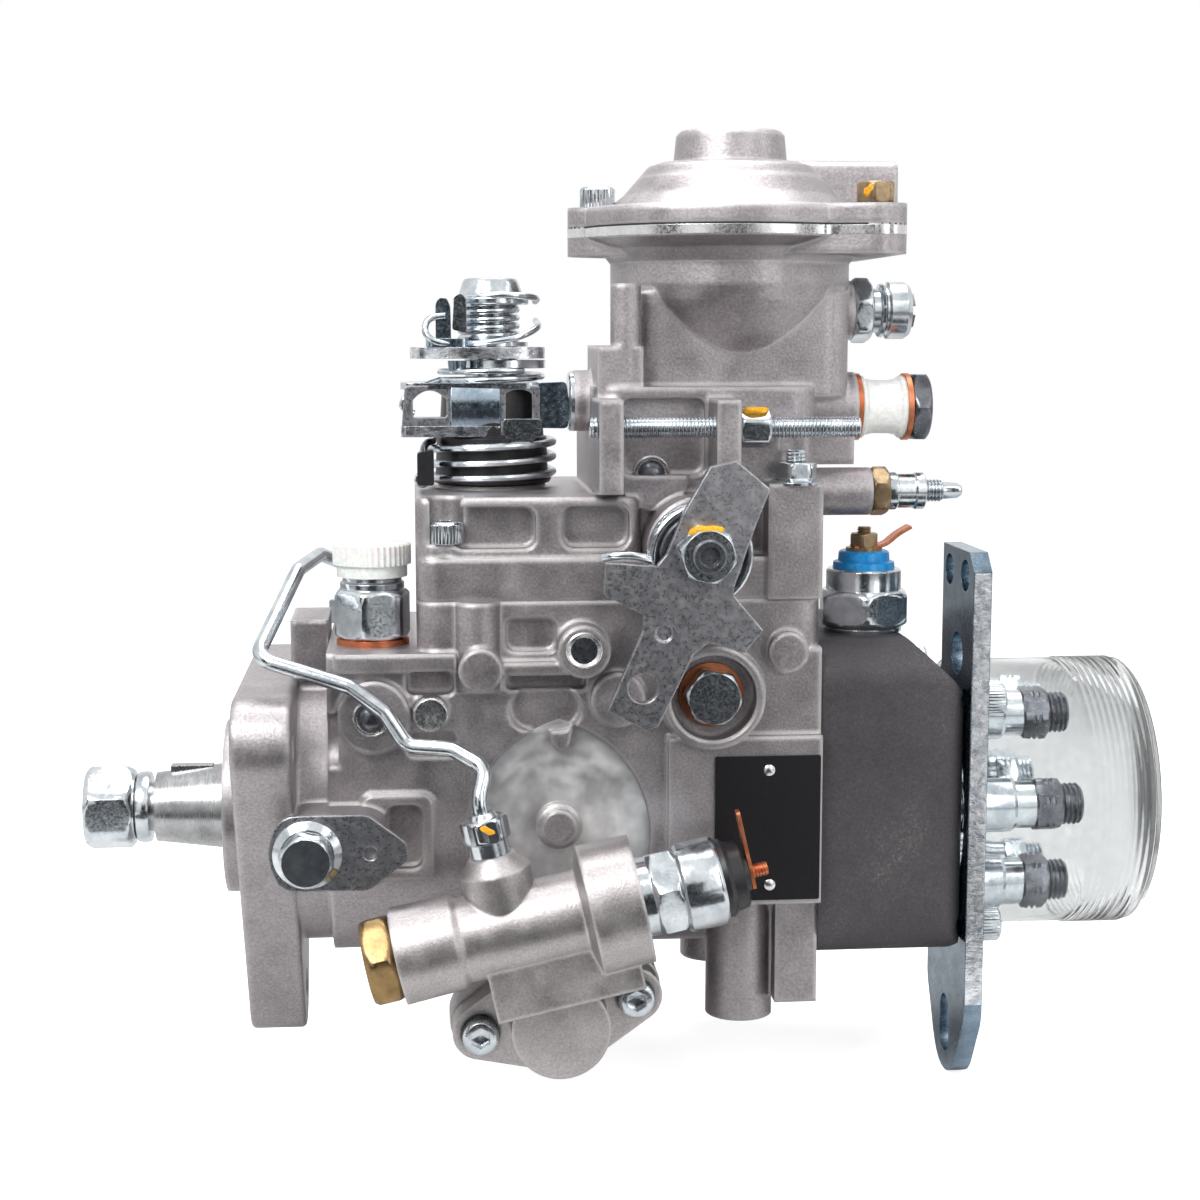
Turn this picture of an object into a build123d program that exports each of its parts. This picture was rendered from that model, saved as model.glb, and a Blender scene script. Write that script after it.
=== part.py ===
from build123d import *
from math import atan2, cos, degrees, pi, radians, sin
import os

os.makedirs("parts", exist_ok=True)

# Rotary diesel injection pump for six cylinders, in millimetres.
# X runs along the pump shaft from the drive nut towards the outlets, Z is up, and the origin is where the shaft
# axis crosses the mounting face of the flange. The side with the levers faces -Y.

# Clearances
FIT = 0.04
LOOSE = 0.3

# Drive shaft and its nut
JOURNAL_R = 12.5
TAPER_SMALL_R = 10.0
TAPER_LENGTH = 20.5
THREAD_R = 7.0
THREAD_LENGTH = 21.5
NUT_AF = 22.0
NUT_LENGTH = 12.3
WASHER_R = 10.3
WASHER_T = 4.2
KEY_W = 4.0
INNER_SHAFT_R = 10.0

# Pilot and three-hole flange
PILOT_R = 25.0
PILOT_LENGTH = 5.5
FLANGE_T = 16.0
FLANGE_PCD = 108.0
FLANGE_HOLE_R = 4.5
FLANGE_EAR_R = 13.0
FLANGE_NUT_R = 9.0
FLANGE_NUT_ROOM = 12.0
EAR_ANGLES = (150, 30, 270)
NECK_R = 39.0

# Housing
BODY_X0 = 30.0
BODY_X1 = 160.8
BODY_HALF_W = 42.0
LEDGE_Z = 50.7
JOINT_Z = 64.4
JOINT_X0 = 49.5
CAVITY_R = 36.0
CAVITY_X0 = 53.0
ROOM_HALF_W = 33.0
COVER_SCREW_Y = 37.5
SPIGOT_R = 32.0
SPIGOT_LENGTH = 20.8
WALL = 6.0

# Bush, seal and feed pump
BUSH_R = 14.5
BUSH_X0 = 7.0
SEAL_R = 19.0
SEAL_T = 7.0
FEED_X0 = 36.0
FEED_T = 11.0
FEED_R = 33.0
FEED_ECCENTRICITY = 2.0
ROTOR_R = 22.0
VANES = 4
VANE_T = 2.5
COVER_PLATE_T = 4.0

# Governor
GOV_Z = 44.0
GEAR_MODULE = 22.0 / 15.0
DRIVE_TEETH = 36
CAGE_TEETH = 24
GEAR_X0 = 56.0
GEAR_T = 6.0
CAGE_R = 22.0
FLYWEIGHTS = 4
FLY_PIVOT_R = 17.0
FLY_PIN_R = 1.2
FLY_LENGTH = 11.0
AXLE_R = 4.0
SLEEVE_R = 7.5
SLEEVE_X1 = 118.0
LEVER_PIVOT_X = 124.0
LEVER_PIVOT_Z = 30.0
LEVER_PIN_R = 3.0
NOSE_R = 4.0

# Timing device and cam drive
TIMING_X = 86.5
TIMING_Z = -47.1
TIMING_TILT = 12.4
PISTON_R = 10.0
PISTON_LENGTH = 44.0
TIMING_TUBE_R = 19.0
TIMING_HALF_L = 46.0
RING_REST = -6.0
RING_T = 15.0
RING_BORE_R = 20.0
ROLLERS = 6
ROLLER_R = 7.0
ROLLER_L = 11.0
ROLLER_PITCH_R = 27.5
PIN_R = 3.5
CAP_SCREW_OFFSET = 21.6
CAM_X = 97.2
CAM_T = 10.8
CAM_R = 33.5
PLUNGER_R = 6.0
CONTROL_SLEEVE_R = 13.0
CONTROL_SLEEVE_T = 10.0

# Distributor head and outlets
HEAD_X1 = 203.2
HEAD_HALF_W = 41.0
HEAD_BOTTOM = -39.0
HEAD_TOP = 40.0
HEAD_BOSS_TOP = 51.5
CYLINDERS = 6
OUTLET_R = 28.5
OUTLET_TURN = 4.0
OUTLET_X1 = 239.3
OUTLET_THREAD_R = 6.0
OUTLET_AF = 14.0
CENTRE_PLUG_R = 8.0
OUTLET_SOCKET_R = 7.0
OUTLET_SINK = 12.0
VALVE_R = 4.0

# Rear bracket
BRACKET_T = 5.2
BRACKET_Y0 = -41.5
BRACKET_TOP_W = 33.0
BRACKET_LOW_W = 42.0
BRACKET_Z1 = 76.0
BRACKET_Z0 = -79.0
BRACKET_OPENING_R = 37.0
BRACKET_HOLE_R = 4.5
BRACKET_HOLE_Z = 69.0
BRACKET_HOLE_GAP = 17.0
BRACKET_WIDE_R = 6.0
BRACKET_WIDE_Z = 46.0
SLOT_Z = -65.0
SLOT_LENGTH = 17.0
SLOT_R = 5.0

# Clear transit cap
CAP_R = 40.0
CAP_WALL = 1.6
CAP_LENGTH = 52.0

# Governor cover and boost tower
COVER_SKIRT_Z = 76.0
COVER_BLOCK_Z = 92.5
COVER_BLOCK_X1 = 111.0
COVER_WALL = 5.0
REAR_SCREW_Z = 96.0
TOWER_X0 = 98.5
TOWER_X1 = 160.5
TOWER_Z = 122.0
BOWL_X = 140.5
BOWL_R = 34.3
BOWL_Z1 = 166.0
LID_FLANGE_T = 5.5
LID_R = 44.0
LID_SCREWS = ((102.0, -4.0), (175.5, -34.0), (175.5, 30.0))
DOME_R = 30.5
DOME_Z1 = 184.5
KNOB_R = 15.5
KNOB_Z1 = 193.5
BOOST_PIN_R = 5.0
BOOST_TRAVEL = 6.0
DIAPHRAGM_Z = 164.0

# Levers
THROTTLE_X = 71.7
THROTTLE_R = 6.0
THROTTLE_TOP = 150.0
STOP_X = 125.5
STOP_Z = 79.0
STOP_Y = -62.0
STOP_T = 2.5
GUIDE_Z0 = 94.0
STOP_BOSS_Y = -50.0
STOP_SHAFT_R = 5.0

# Side fittings
INLET_X = 37.3
INLET_Y = -22.0
INLET_AF = 19.0
INLET_BORE_R = 4.0
INLET_SPIGOT_R = 7.0
INLET_PORT_R = 7.0
INLET_LENGTH = 19.0
INLET_COLLAR_R = 8.6
INLET_COLLAR_L = 2.0
SOLENOID_X = 178.0
SOLENOID_Y = -15.0
SOLENOID_AF = 24.0
SOLENOID_THREAD_R = 9.0
OVERFLOW_Z = 115.5
OVERFLOW_Y = -10.0
OVERFLOW_X0 = 175.0
OVERFLOW_BOSS_R = 10.0
OVERFLOW_SLEEVE_L = 13.0
FULL_LOAD_Y = -20.0
FULL_LOAD_Z = 92.0
FULL_LOAD_X0 = 178.0
FULL_LOAD_BOSS_R = 6.8
VENT_Z = 143.0
VENT_X0 = 176.0
SPEED_SCREW_Y = -46.0
SPEED_SCREW_Z = 111.5
SPEED_LUGS = (101.5, 133.0)
PLUG_X = 130.0
PLUG_Z = 38.0
PLUG_SINK_R = 11.8
PLUG_SEAT_Y = -41.0
PLUG_THREAD_R = 6.0
LOCK_X = 20.0
LOCK_Z = 0.0
PIPE_R = 2.1

# Pockets and the milled hollow on the lever side of the castings
POCKET_DEPTH = 5.0
MILL_R = 34.8
MILL_XS = (97.6, 78.8)
MILL_Z = -2.0
MILL_DEPTH = 3.0

# Sloping barrel of the cold start cover
BARREL_Y = -66.0
BARREL_X0 = 43.5
BARREL_Z0 = -26.5

# Places that follow from the sizes above
SHAFT_TAPER_X0 = -PILOT_LENGTH - TAPER_LENGTH
SHAFT_END_X = SHAFT_TAPER_X0 - THREAD_LENGTH + 1.0
RING_X0 = TIMING_X - RING_T / 2
RING_X1 = RING_X0 + RING_T
ROLLER_X = CAM_X - 0.2 - ROLLER_R
CAM_X1 = CAM_X + CAM_T
HEAD_SPIGOT_X0 = BODY_X1 - SPIGOT_LENGTH
PLUNGER_X1 = HEAD_SPIGOT_X0 + 32
FLY_PIVOT_X = GEAR_X0 + GEAR_T + 3.0
SLEEVE_X0 = FLY_PIVOT_X + 1.7
GOV_SPRING_Z = COVER_BLOCK_Z - 20
GOV_SPRING_X1 = SLEEVE_X1 - 12
TIMING_TRAVEL = -TIMING_Z * sin(radians(-RING_REST))
FEED_X1 = FEED_X0 + FEED_T
BRACKET_X0 = HEAD_X1
BRACKET_X1 = BRACKET_X0 + BRACKET_T
COVER_NEAR_Y = -TIMING_HALF_L
FAR_UNION = Vector(30, 19, LEDGE_Z + 5)


# Basic forms along each axis

def cyl_x(r, x0, x1, y=0, z=0):
    return Pos((x0 + x1) / 2, y, z) * Rot(0, 90, 0) * Cylinder(r, x1 - x0)


def cyl_y(r, y0, y1, x, z):
    return Pos(x, (y0 + y1) / 2, z) * Rot(90, 0, 0) * Cylinder(r, y1 - y0)


def cyl_z(r, z0, z1, x, y):
    return Pos(x, y, (z0 + z1) / 2) * Cylinder(r, z1 - z0)


def block(x0, x1, y0, y1, z0, z1):
    return Pos((x0 + x1) / 2, (y0 + y1) / 2, (z0 + z1) / 2) * Box(x1 - x0, y1 - y0, z1 - z0)


def hexagon(af, length):
    """A chamfered hexagon prism from z = 0 up to its length."""
    prism = extrude(RegularPolygon(af / 2, 6, major_radius=False), length)
    corner_r = af / 2 / cos(pi / 6)
    drop = (corner_r - af / 2) * 0.6
    blank = Cylinder(corner_r, length, align=(Align.CENTER, Align.CENTER, Align.MIN))
    return prism & chamfer(blank.edges().filter_by(GeomType.CIRCLE), drop)


def hex_x(af, x0, x1, y=0, z=0):
    return Pos(x0, y, z) * Rot(0, 90, 0) * hexagon(af, x1 - x0)


def hex_y(af, y0, y1, x, z):
    return Pos(x, y1, z) * Rot(90, 0, 0) * hexagon(af, y1 - y0)


def hex_z(af, z0, z1, x, y):
    return Pos(x, y, z0) * hexagon(af, z1 - z0)


def turned_x(points, y=0, z=0):
    """A turned piece about a line along X, from (x, radius) points."""
    return Pos(0, y, z) * revolve(make_face(Polyline(*points, close=True)), Axis.X)


def turned_z(points, x, y):
    """A turned piece about an upright line, from (radius, z) points."""
    face = make_face(Polyline(*[(r, 0, z) for r, z in points], close=True))
    return Pos(x, y, 0) * revolve(face, Axis.Z)


def hull_face(circles):
    """The face stretched round a set of circles, each given as (x, y, radius)."""
    return make_face(make_hull([Pos(x, y) * Edge.make_circle(r) for x, y, r in circles]))


def plate_yz(circles, x0, x1):
    """A plate square to X, its outline round circles given as (y, z, radius)."""
    return extrude(Plane((x0, 0, 0), x_dir=(0, 1, 0), z_dir=(1, 0, 0)) * hull_face(circles), x1 - x0)


def plate_xz(circles, y0, y1):
    """A plate square to Y, its outline round circles given as (x, z, radius)."""
    return extrude(Plane((0, y1, 0), x_dir=(1, 0, 0), z_dir=(0, -1, 0)) * hull_face(circles), y1 - y0)


def plate_xy(circles, z0, z1):
    """A level plate, its outline round circles given as (x, y, radius)."""
    return Pos(0, 0, z0) * extrude(hull_face(circles), z1 - z0)


def slab_xz(points, y0, y1):
    """A slab between y0 and y1 with a side outline of (x, z) points."""
    face = make_face(Polyline(*points, close=True))
    return extrude(Plane((0, y1, 0), x_dir=(1, 0, 0), z_dir=(0, -1, 0)) * face, y1 - y0)


def polar(radius, angle):
    """Y and Z at an angle round the shaft, from +Y towards +Z."""
    return radius * cos(radians(angle)), radius * sin(radians(angle))


def cap_screw_y(x, z, y_head, length):
    """An M6 cap screw that points in +Y, with a hexagon socket in its head."""
    head = fillet(cyl_y(5.0, y_head, y_head + 6, x, z).edges().filter_by(GeomType.CIRCLE).sort_by(Axis.Y)[0], 0.6)
    socket = hex_y(5.0, y_head - 0.1, y_head + 3, x, z)
    return head + cyl_y(3.0, y_head + 6, y_head + 6 + length, x, z) - socket


def cap_screw_z(x, y, z_top, length):
    """An M6 cap screw that points down."""
    head = fillet(cyl_z(5.0, z_top - 6, z_top, x, y).edges().filter_by(GeomType.CIRCLE).sort_by(Axis.Z)[-1], 0.6)
    socket = hex_z(5.0, z_top - 3, z_top + 0.1, x, y)
    return head + cyl_z(3.0, z_top - 6 - length, z_top - 6, x, y) - socket


def spring(radius, wire_r, height, turns):
    """A closed helical spring along +Z from z = 0, its wire ends inside the height."""
    pitch = (height - 2 * wire_r) / turns
    path = Pos(0, 0, wire_r) * Helix(pitch, pitch * turns, radius)
    profile = Plane(path @ 0, z_dir=path % 0) * Circle(wire_r)
    return sweep(profile, path, is_frenet=True)


def gear_blank(teeth, turn):
    """Outline of a gear with straight-sided teeth, thinned for backlash."""
    pitch_r = GEAR_MODULE * teeth / 2
    outer = pitch_r + GEAR_MODULE * 0.75
    root = pitch_r - GEAR_MODULE * 0.95
    step = 360 / teeth
    points = []
    for n in range(teeth):
        for radius, share in ((root, -0.29), (outer, -0.11), (outer, 0.11), (root, 0.29)):
            angle = radians(turn + step * (n + share))
            points.append((radius * cos(angle), radius * sin(angle)))
    return make_face(Polyline(*points, close=True))


def gear_x(teeth, x0, thick, z, turn):
    """A gear about a line along X; its tooth angle is counted from +Z."""
    face = Plane((x0, 0, z), x_dir=(0, 0, 1), z_dir=(1, 0, 0)) * gear_blank(teeth, turn)
    return extrude(face, thick)


# Drive shaft group


def make_drive_shaft():
    claws_x = RING_X1 - 3
    points = [(SHAFT_END_X, 0), (SHAFT_END_X, THREAD_R - 1), (SHAFT_END_X + 1, THREAD_R),
              (SHAFT_TAPER_X0, THREAD_R), (SHAFT_TAPER_X0, TAPER_SMALL_R), (-PILOT_LENGTH, JOURNAL_R),
              (FEED_X0 - 1, JOURNAL_R), (FEED_X0 - 1, INNER_SHAFT_R), (RING_X0, INNER_SHAFT_R),
              (RING_X0, RING_BORE_R - 3), (claws_x - 8, RING_BORE_R - 3), (claws_x - 8, 0)]
    shaft = turned_x(points)
    keyway_x = SHAFT_TAPER_X0 + TAPER_LENGTH / 2
    keyway = block(keyway_x - 6, keyway_x + 6, -KEY_W / 2, KEY_W / 2, JOURNAL_R - 3.5, JOURNAL_R + 3)
    claw = block(claws_x - 8, claws_x, -6, 6, 7, RING_BORE_R - 4)
    claws = claw + Rot(180, 0, 0) * claw
    key = block(keyway_x - 6, keyway_x + 6, -KEY_W / 2, KEY_W / 2, JOURNAL_R - 3.5, JOURNAL_R - 0.2)
    return shaft - keyway + claws, key


def make_shaft_nut():
    washer_x0 = SHAFT_TAPER_X0 - 0.8 - WASHER_T - 0.8
    nut_x1 = washer_x0 - 0.7
    nut_x0 = nut_x1 - NUT_LENGTH
    nut = hex_x(NUT_AF, nut_x0, nut_x1) + cyl_x(THREAD_R + 2, nut_x1, washer_x0)
    nut -= cyl_x(THREAD_R, nut_x0 - 1, washer_x0 + 1)
    washer = turned_x([(washer_x0, THREAD_R), (washer_x0, WASHER_R - 1.5), (washer_x0 + 1.5, WASHER_R),
                       (washer_x0 + WASHER_T, WASHER_R), (washer_x0 + WASHER_T, THREAD_R)])
    return [nut, washer]


def make_feed_rotor():
    rotor = cyl_x(ROTOR_R, FEED_X0 + 0.1, FEED_X0 + FEED_T - 0.1) - cyl_x(INNER_SHAFT_R, FEED_X0, FEED_X0 + FEED_T)
    vanes = []
    for n in range(VANES):
        turn = Rot(360 / VANES * n, 0, 0)
        slot = turn * block(FEED_X0, FEED_X0 + FEED_T, -VANE_T / 2, VANE_T / 2, ROTOR_R - 8, ROTOR_R + 1)
        rotor -= slot
        vane = block(FEED_X0 + 0.1, FEED_X0 + FEED_T - 0.1, -VANE_T / 2 + 0.05, VANE_T / 2 - 0.05,
                     ROTOR_R - 8, ROTOR_R - 0.2)
        vanes.append(turn * vane)
    return [rotor] + vanes


def make_drive_gear():
    return gear_x(DRIVE_TEETH, GEAR_X0, GEAR_T, 0, 0) - cyl_x(INNER_SHAFT_R, GEAR_X0 - 1, GEAR_X0 + GEAR_T + 1)


def make_cam_plate():
    disc = cyl_x(CAM_R, CAM_X + 2, CAM_X1)
    for n in range(CYLINDERS):
        lobe = Pos(CAM_X + 6, 0, CAM_R - 7) * Cylinder(6, 13)
        disc += Rot(360 / CYLINDERS * (n + 0.5), 0, 0) * lobe
    disc &= cyl_x(CAM_R, CAM_X, CAM_X1)
    claws_x0 = RING_X1 - 10.7
    claw = block(claws_x0, CAM_X + 4, 7, RING_BORE_R - 4, -6, 6)
    disc += claw + Rot(180, 0, 0) * claw
    return disc - cyl_x(PLUNGER_R, CAM_X + 5, CAM_X1 + 1)


def make_plunger():
    plunger = cyl_x(PLUNGER_R, CAM_X + 5, PLUNGER_X1)
    groove = cyl_x(PLUNGER_R + 1, PLUNGER_X1 - 12, PLUNGER_X1 - 10) - cyl_x(PLUNGER_R - 0.8, 0, PLUNGER_X1)
    spill = cyl_z(1.5, -PLUNGER_R - 1, PLUNGER_R + 1, LEVER_PIVOT_X - 1, 0)
    return plunger - groove - spill


# Governor group


def make_governor_cage():
    x1 = GEAR_X0 + GEAR_T
    gear = gear_x(CAGE_TEETH, GEAR_X0, GEAR_T, GOV_Z, 180 / CAGE_TEETH)
    cage = cyl_x(CAGE_R, x1, x1 + 1.5, 0, GOV_Z)
    for n in range(FLYWEIGHTS):
        arm = block(x1, FLY_PIVOT_X + 2.5, -1.5, 1.5, FLY_PIVOT_R - 4, CAGE_R)
        cage += Pos(0, 0, GOV_Z) * Rot(360 / FLYWEIGHTS * (n + 0.5), 0, 0) * arm
    return gear + cage - cyl_x(AXLE_R + FIT, GEAR_X0 - 1, x1 + 3, 0, GOV_Z)


def make_flyweight(n):
    """A flyweight with its heel against the sleeve, between two arms of the cage."""
    outline = [(-8.6, 11.5), (-13, 17.5), (-7, 21.8), (7, 21.8), (13, 17.5), (8.6, 11.5)]
    sector = make_face(Polyline(*outline, close=True))
    body = extrude(Plane((FLY_PIVOT_X + 1, 0, 0), x_dir=(0, 1, 0), z_dir=(1, 0, 0)) * sector, FLY_LENGTH)
    body += block(FLY_PIVOT_X - 0.8, FLY_PIVOT_X + 1.5, -5, 5, 9.5, FLY_PIVOT_R + 1)
    body += cyl_y(FLY_PIN_R, -12.5, 12.5, FLY_PIVOT_X, FLY_PIVOT_R)
    return Pos(0, 0, GOV_Z) * Rot(360 / FLYWEIGHTS * n, 0, 0) * body


def make_governor_sleeve():
    sleeve = cyl_x(10.6, SLEEVE_X0, SLEEVE_X0 + 2, 0, GOV_Z) + cyl_x(SLEEVE_R, SLEEVE_X0, SLEEVE_X1, 0, GOV_Z)
    return sleeve - cyl_x(AXLE_R + FIT, SLEEVE_X0 - 1, SLEEVE_X1 - 3, 0, GOV_Z)


def make_governor_lever():
    """Start and control lever: the sleeve pushes its middle, its ball foot moves the control sleeve."""
    x0 = SLEEVE_X1 + 2
    plate = block(x0, x0 + 3, -8, 8, 14, GOV_SPRING_Z + 4)
    plate += cyl_x(1.5, GOV_SPRING_X1 + 0.3, x0 + 1, 0, GOV_SPRING_Z)
    plate += block(x0, LEVER_PIVOT_X + 4, -8, 8, LEVER_PIVOT_Z - 5, LEVER_PIVOT_Z + 5)
    plate += cyl_y(NOSE_R, -5, 5, SLEEVE_X1 + 0.2 + NOSE_R, GOV_Z)
    plate += block(x0, LEVER_PIVOT_X + 2, -2, 2, 14, 19) + cyl_z(1.8, 9, 16, LEVER_PIVOT_X, 0)
    plate += Pos(LEVER_PIVOT_X, 0, 9.5) * Sphere(2.4)
    return plate - cyl_y(LEVER_PIN_R + FIT, -9, 9, LEVER_PIVOT_X, LEVER_PIVOT_Z)


def make_control_sleeve():
    x0 = LEVER_PIVOT_X - CONTROL_SLEEVE_T / 2
    sleeve = cyl_x(CONTROL_SLEEVE_R, x0, x0 + CONTROL_SLEEVE_T)
    sleeve -= cyl_x(PLUNGER_R + FIT, x0 - 1, x0 + CONTROL_SLEEVE_T + 1)
    return sleeve - cyl_z(2.9, 6, 14, LEVER_PIVOT_X, 0)


def make_governor_pins():
    axle = cyl_x(AXLE_R, BODY_X0 + 6, SLEEVE_X1 - 8, 0, GOV_Z)
    pin = cyl_y(LEVER_PIN_R, -CAVITY_R - 4, CAVITY_R + 4, LEVER_PIVOT_X, LEVER_PIVOT_Z)
    return [axle, pin]


# Timing group

def make_roller_ring():
    ring = cyl_x(CAVITY_R - FIT, RING_X0, RING_X1) - cyl_x(RING_BORE_R, RING_X0 - 1, RING_X1 + 1)
    ring &= block(RING_X0, RING_X1, -CAVITY_R, CAVITY_R, -CAVITY_R, CAVITY_R - 5)
    rollers = []
    for n in range(ROLLERS):
        turn = Rot(360 / ROLLERS * (n + 0.5), 0, 0)
        seat = turn * Pos(ROLLER_X, 0, ROLLER_PITCH_R)
        ring -= seat * Cylinder(ROLLER_R + LOOSE, ROLLER_L + 2 * LOOSE)
        ring += seat * Cylinder(2.5, ROLLER_L + 2)
        rollers.append(seat * (Cylinder(ROLLER_R, ROLLER_L) - Cylinder(2.5 + FIT, ROLLER_L)))
    pin = cyl_z(PIN_R, TIMING_Z - 3, -CAVITY_R + 4, TIMING_X, 0)
    solids = [ring + pin] + rollers
    return [Rot(RING_REST, 0, 0) * s for s in solids]


def make_timing_piston():
    piston = cyl_y(PISTON_R, -PISTON_LENGTH / 2, PISTON_LENGTH / 2, TIMING_X, TIMING_Z)
    piston -= cyl_z(PIN_R + 1.8, TIMING_Z - 6, TIMING_Z + PISTON_R + 1, TIMING_X, 0)
    return Pos(0, -TIMING_TRAVEL, 0) * piston


# Housing


def timing_screw_places():
    dx = CAP_SCREW_OFFSET * cos(radians(TIMING_TILT))
    dz = CAP_SCREW_OFFSET * sin(radians(TIMING_TILT))
    return [(TIMING_X - dx, TIMING_Z - dz), (TIMING_X + dx, TIMING_Z + dz)]


def make_housing():
    ears = [polar(FLANGE_PCD / 2, a) + (FLANGE_EAR_R,) for a in EAR_ANGLES]
    flange = plate_yz(ears + [(0, 0, NECK_R)], 0, FLANGE_T)
    body = fillet(flange.faces().sort_by(Axis.X)[0].edges() + flange.faces().sort_by(Axis.X)[-1].edges(), 1.5)
    body += cyl_x(PILOT_R, -PILOT_LENGTH, 1)
    body += cyl_x(NECK_R, FLANGE_T - 1, BODY_X0 + 6)
    lower = [(0, 0, BODY_HALF_W), (-BODY_HALF_W + 1, LEDGE_Z - 1, 1), (BODY_HALF_W - 1, LEDGE_Z - 1, 1)]
    body += plate_yz(lower, BODY_X0 - 5, BODY_X1)
    upper = block(JOINT_X0, BODY_X1, -BODY_HALF_W, BODY_HALF_W, 0, JOINT_Z)
    body += fillet(upper.edges().filter_by(Axis.Z), 6)
    tube = cyl_y(TIMING_TUBE_R, -TIMING_HALF_L, TIMING_HALF_L, TIMING_X, TIMING_Z)
    tube += block(TIMING_X - TIMING_TUBE_R, TIMING_X + TIMING_TUBE_R, -BODY_HALF_W + 4, BODY_HALF_W - 4, TIMING_Z, -20)
    pads = [(x, z, 8) for x, z in timing_screw_places()]
    for y0 in (-TIMING_HALF_L, TIMING_HALF_L - 12):
        tube += plate_xz(pads + [(TIMING_X, TIMING_Z, TIMING_TUBE_R)], y0, y0 + 12)
    body += tube
    body += housing_outside()
    return body - housing_pockets() - housing_bores()


def housing_pockets():
    """Cast pockets and the two-pass milled hollow on the lever side."""
    side = -BODY_HALF_W
    low_y = side + POCKET_DEPTH
    cut = side_pocket(46.5, 59.5, 39, 46, low_y) + side_pocket(73.6, 95.5, 40, 44.3, low_y)
    cut += side_pocket(73.5, 87.5, 50.5, 60, side + 2.5) + side_pocket(46.5, 60, 22, 29, side + 2)
    cut += plate_xz([(80.5, 34.5, 6), (88, 34.5, 6)], side - 6, side + 3)
    mill = cyl_y(MILL_R, side - 6, side + MILL_DEPTH, MILL_XS[0], MILL_Z)
    mill &= cyl_y(MILL_R, side - 6, side + MILL_DEPTH, MILL_XS[1], MILL_Z)
    mill -= block(60, 120, side - 8, side + 8, MILL_Z - MILL_R - 1, -20)
    mill -= plate_xz([(86, 40, 3), (91, 40, 3), (88.5, 25.5, 2.5)], side - 8, side + 8)
    cut += mill
    cut += side_pocket(40.5, 50.5, -9, 9, side + 2.5)
    return cut - cyl_y(6.5, side - 8, side + 8, TIMING_X + 1.5, 1.8)


def side_pocket(x0, x1, z0, z1, y1):
    """A pocket with round corners, cut into the lever side down to y1."""
    r = min(x1 - x0, z1 - z0) * 0.3
    corners = [(x, z, r) for x in (x0 + r, x1 - r) for z in (z0 + r, z1 - r)]
    return plate_xz(corners, -BODY_HALF_W - 12, y1)


def housing_outside():
    """Ribs, pads and bosses of the casting that stand on its walls."""
    side = -BODY_HALF_W
    form = block(14, 24.5, -14, 14, NECK_R - 8, 56)
    form += plate_xz([(LOCK_X, LOCK_Z, 9), (BODY_X0 + 4, LOCK_Z, 9)], -58, -30)
    form += cyl_y(10, side - 3, side + 6, 37.5, 33.5)
    form += cyl_z(6.5, 40, JOINT_Z, 66, side + 2) + cyl_y(6, side - 6.5, side + 4, 66.5, 46.5)
    form += cyl_y(4.8, side - 5, side + 4, 53, 34.6)
    form += block(BODY_X0 - 3, 60, side - 3, side + 5, LEDGE_Z - 5, LEDGE_Z)
    form += block(72, 93, side - 3, side + 5, 44.5, 48)
    form += cyl_y(7.2, side - 8, side + 4, 94.3, 51.5)
    form += cyl_y(7.5, side - 4, side + 4, 104, 37.5) + cyl_y(5.5, side - 3.5, side + 4, 151, 50)
    form += cyl_y(14.2, side - 6, side + 4, PLUG_X, PLUG_Z)
    form += block(118, BODY_X1, side - 3, side + 5, -21, 26.5)
    form += cyl_y(5, side - 2, side + 12, TIMING_X + 1.5, 1.8)
    form += cyl_z(9.5, -57, -20, 140.5, -28) + block(149, BODY_X1, -40, 40, -51, -20)
    form += cyl_z(9.5, -57, -20, 140.5, 28)
    form += plate_xz([(x, z, 3) for x in (37, 50.5) for z in (-9, 9)], side - 1.5, side + 10)
    return form


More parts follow.
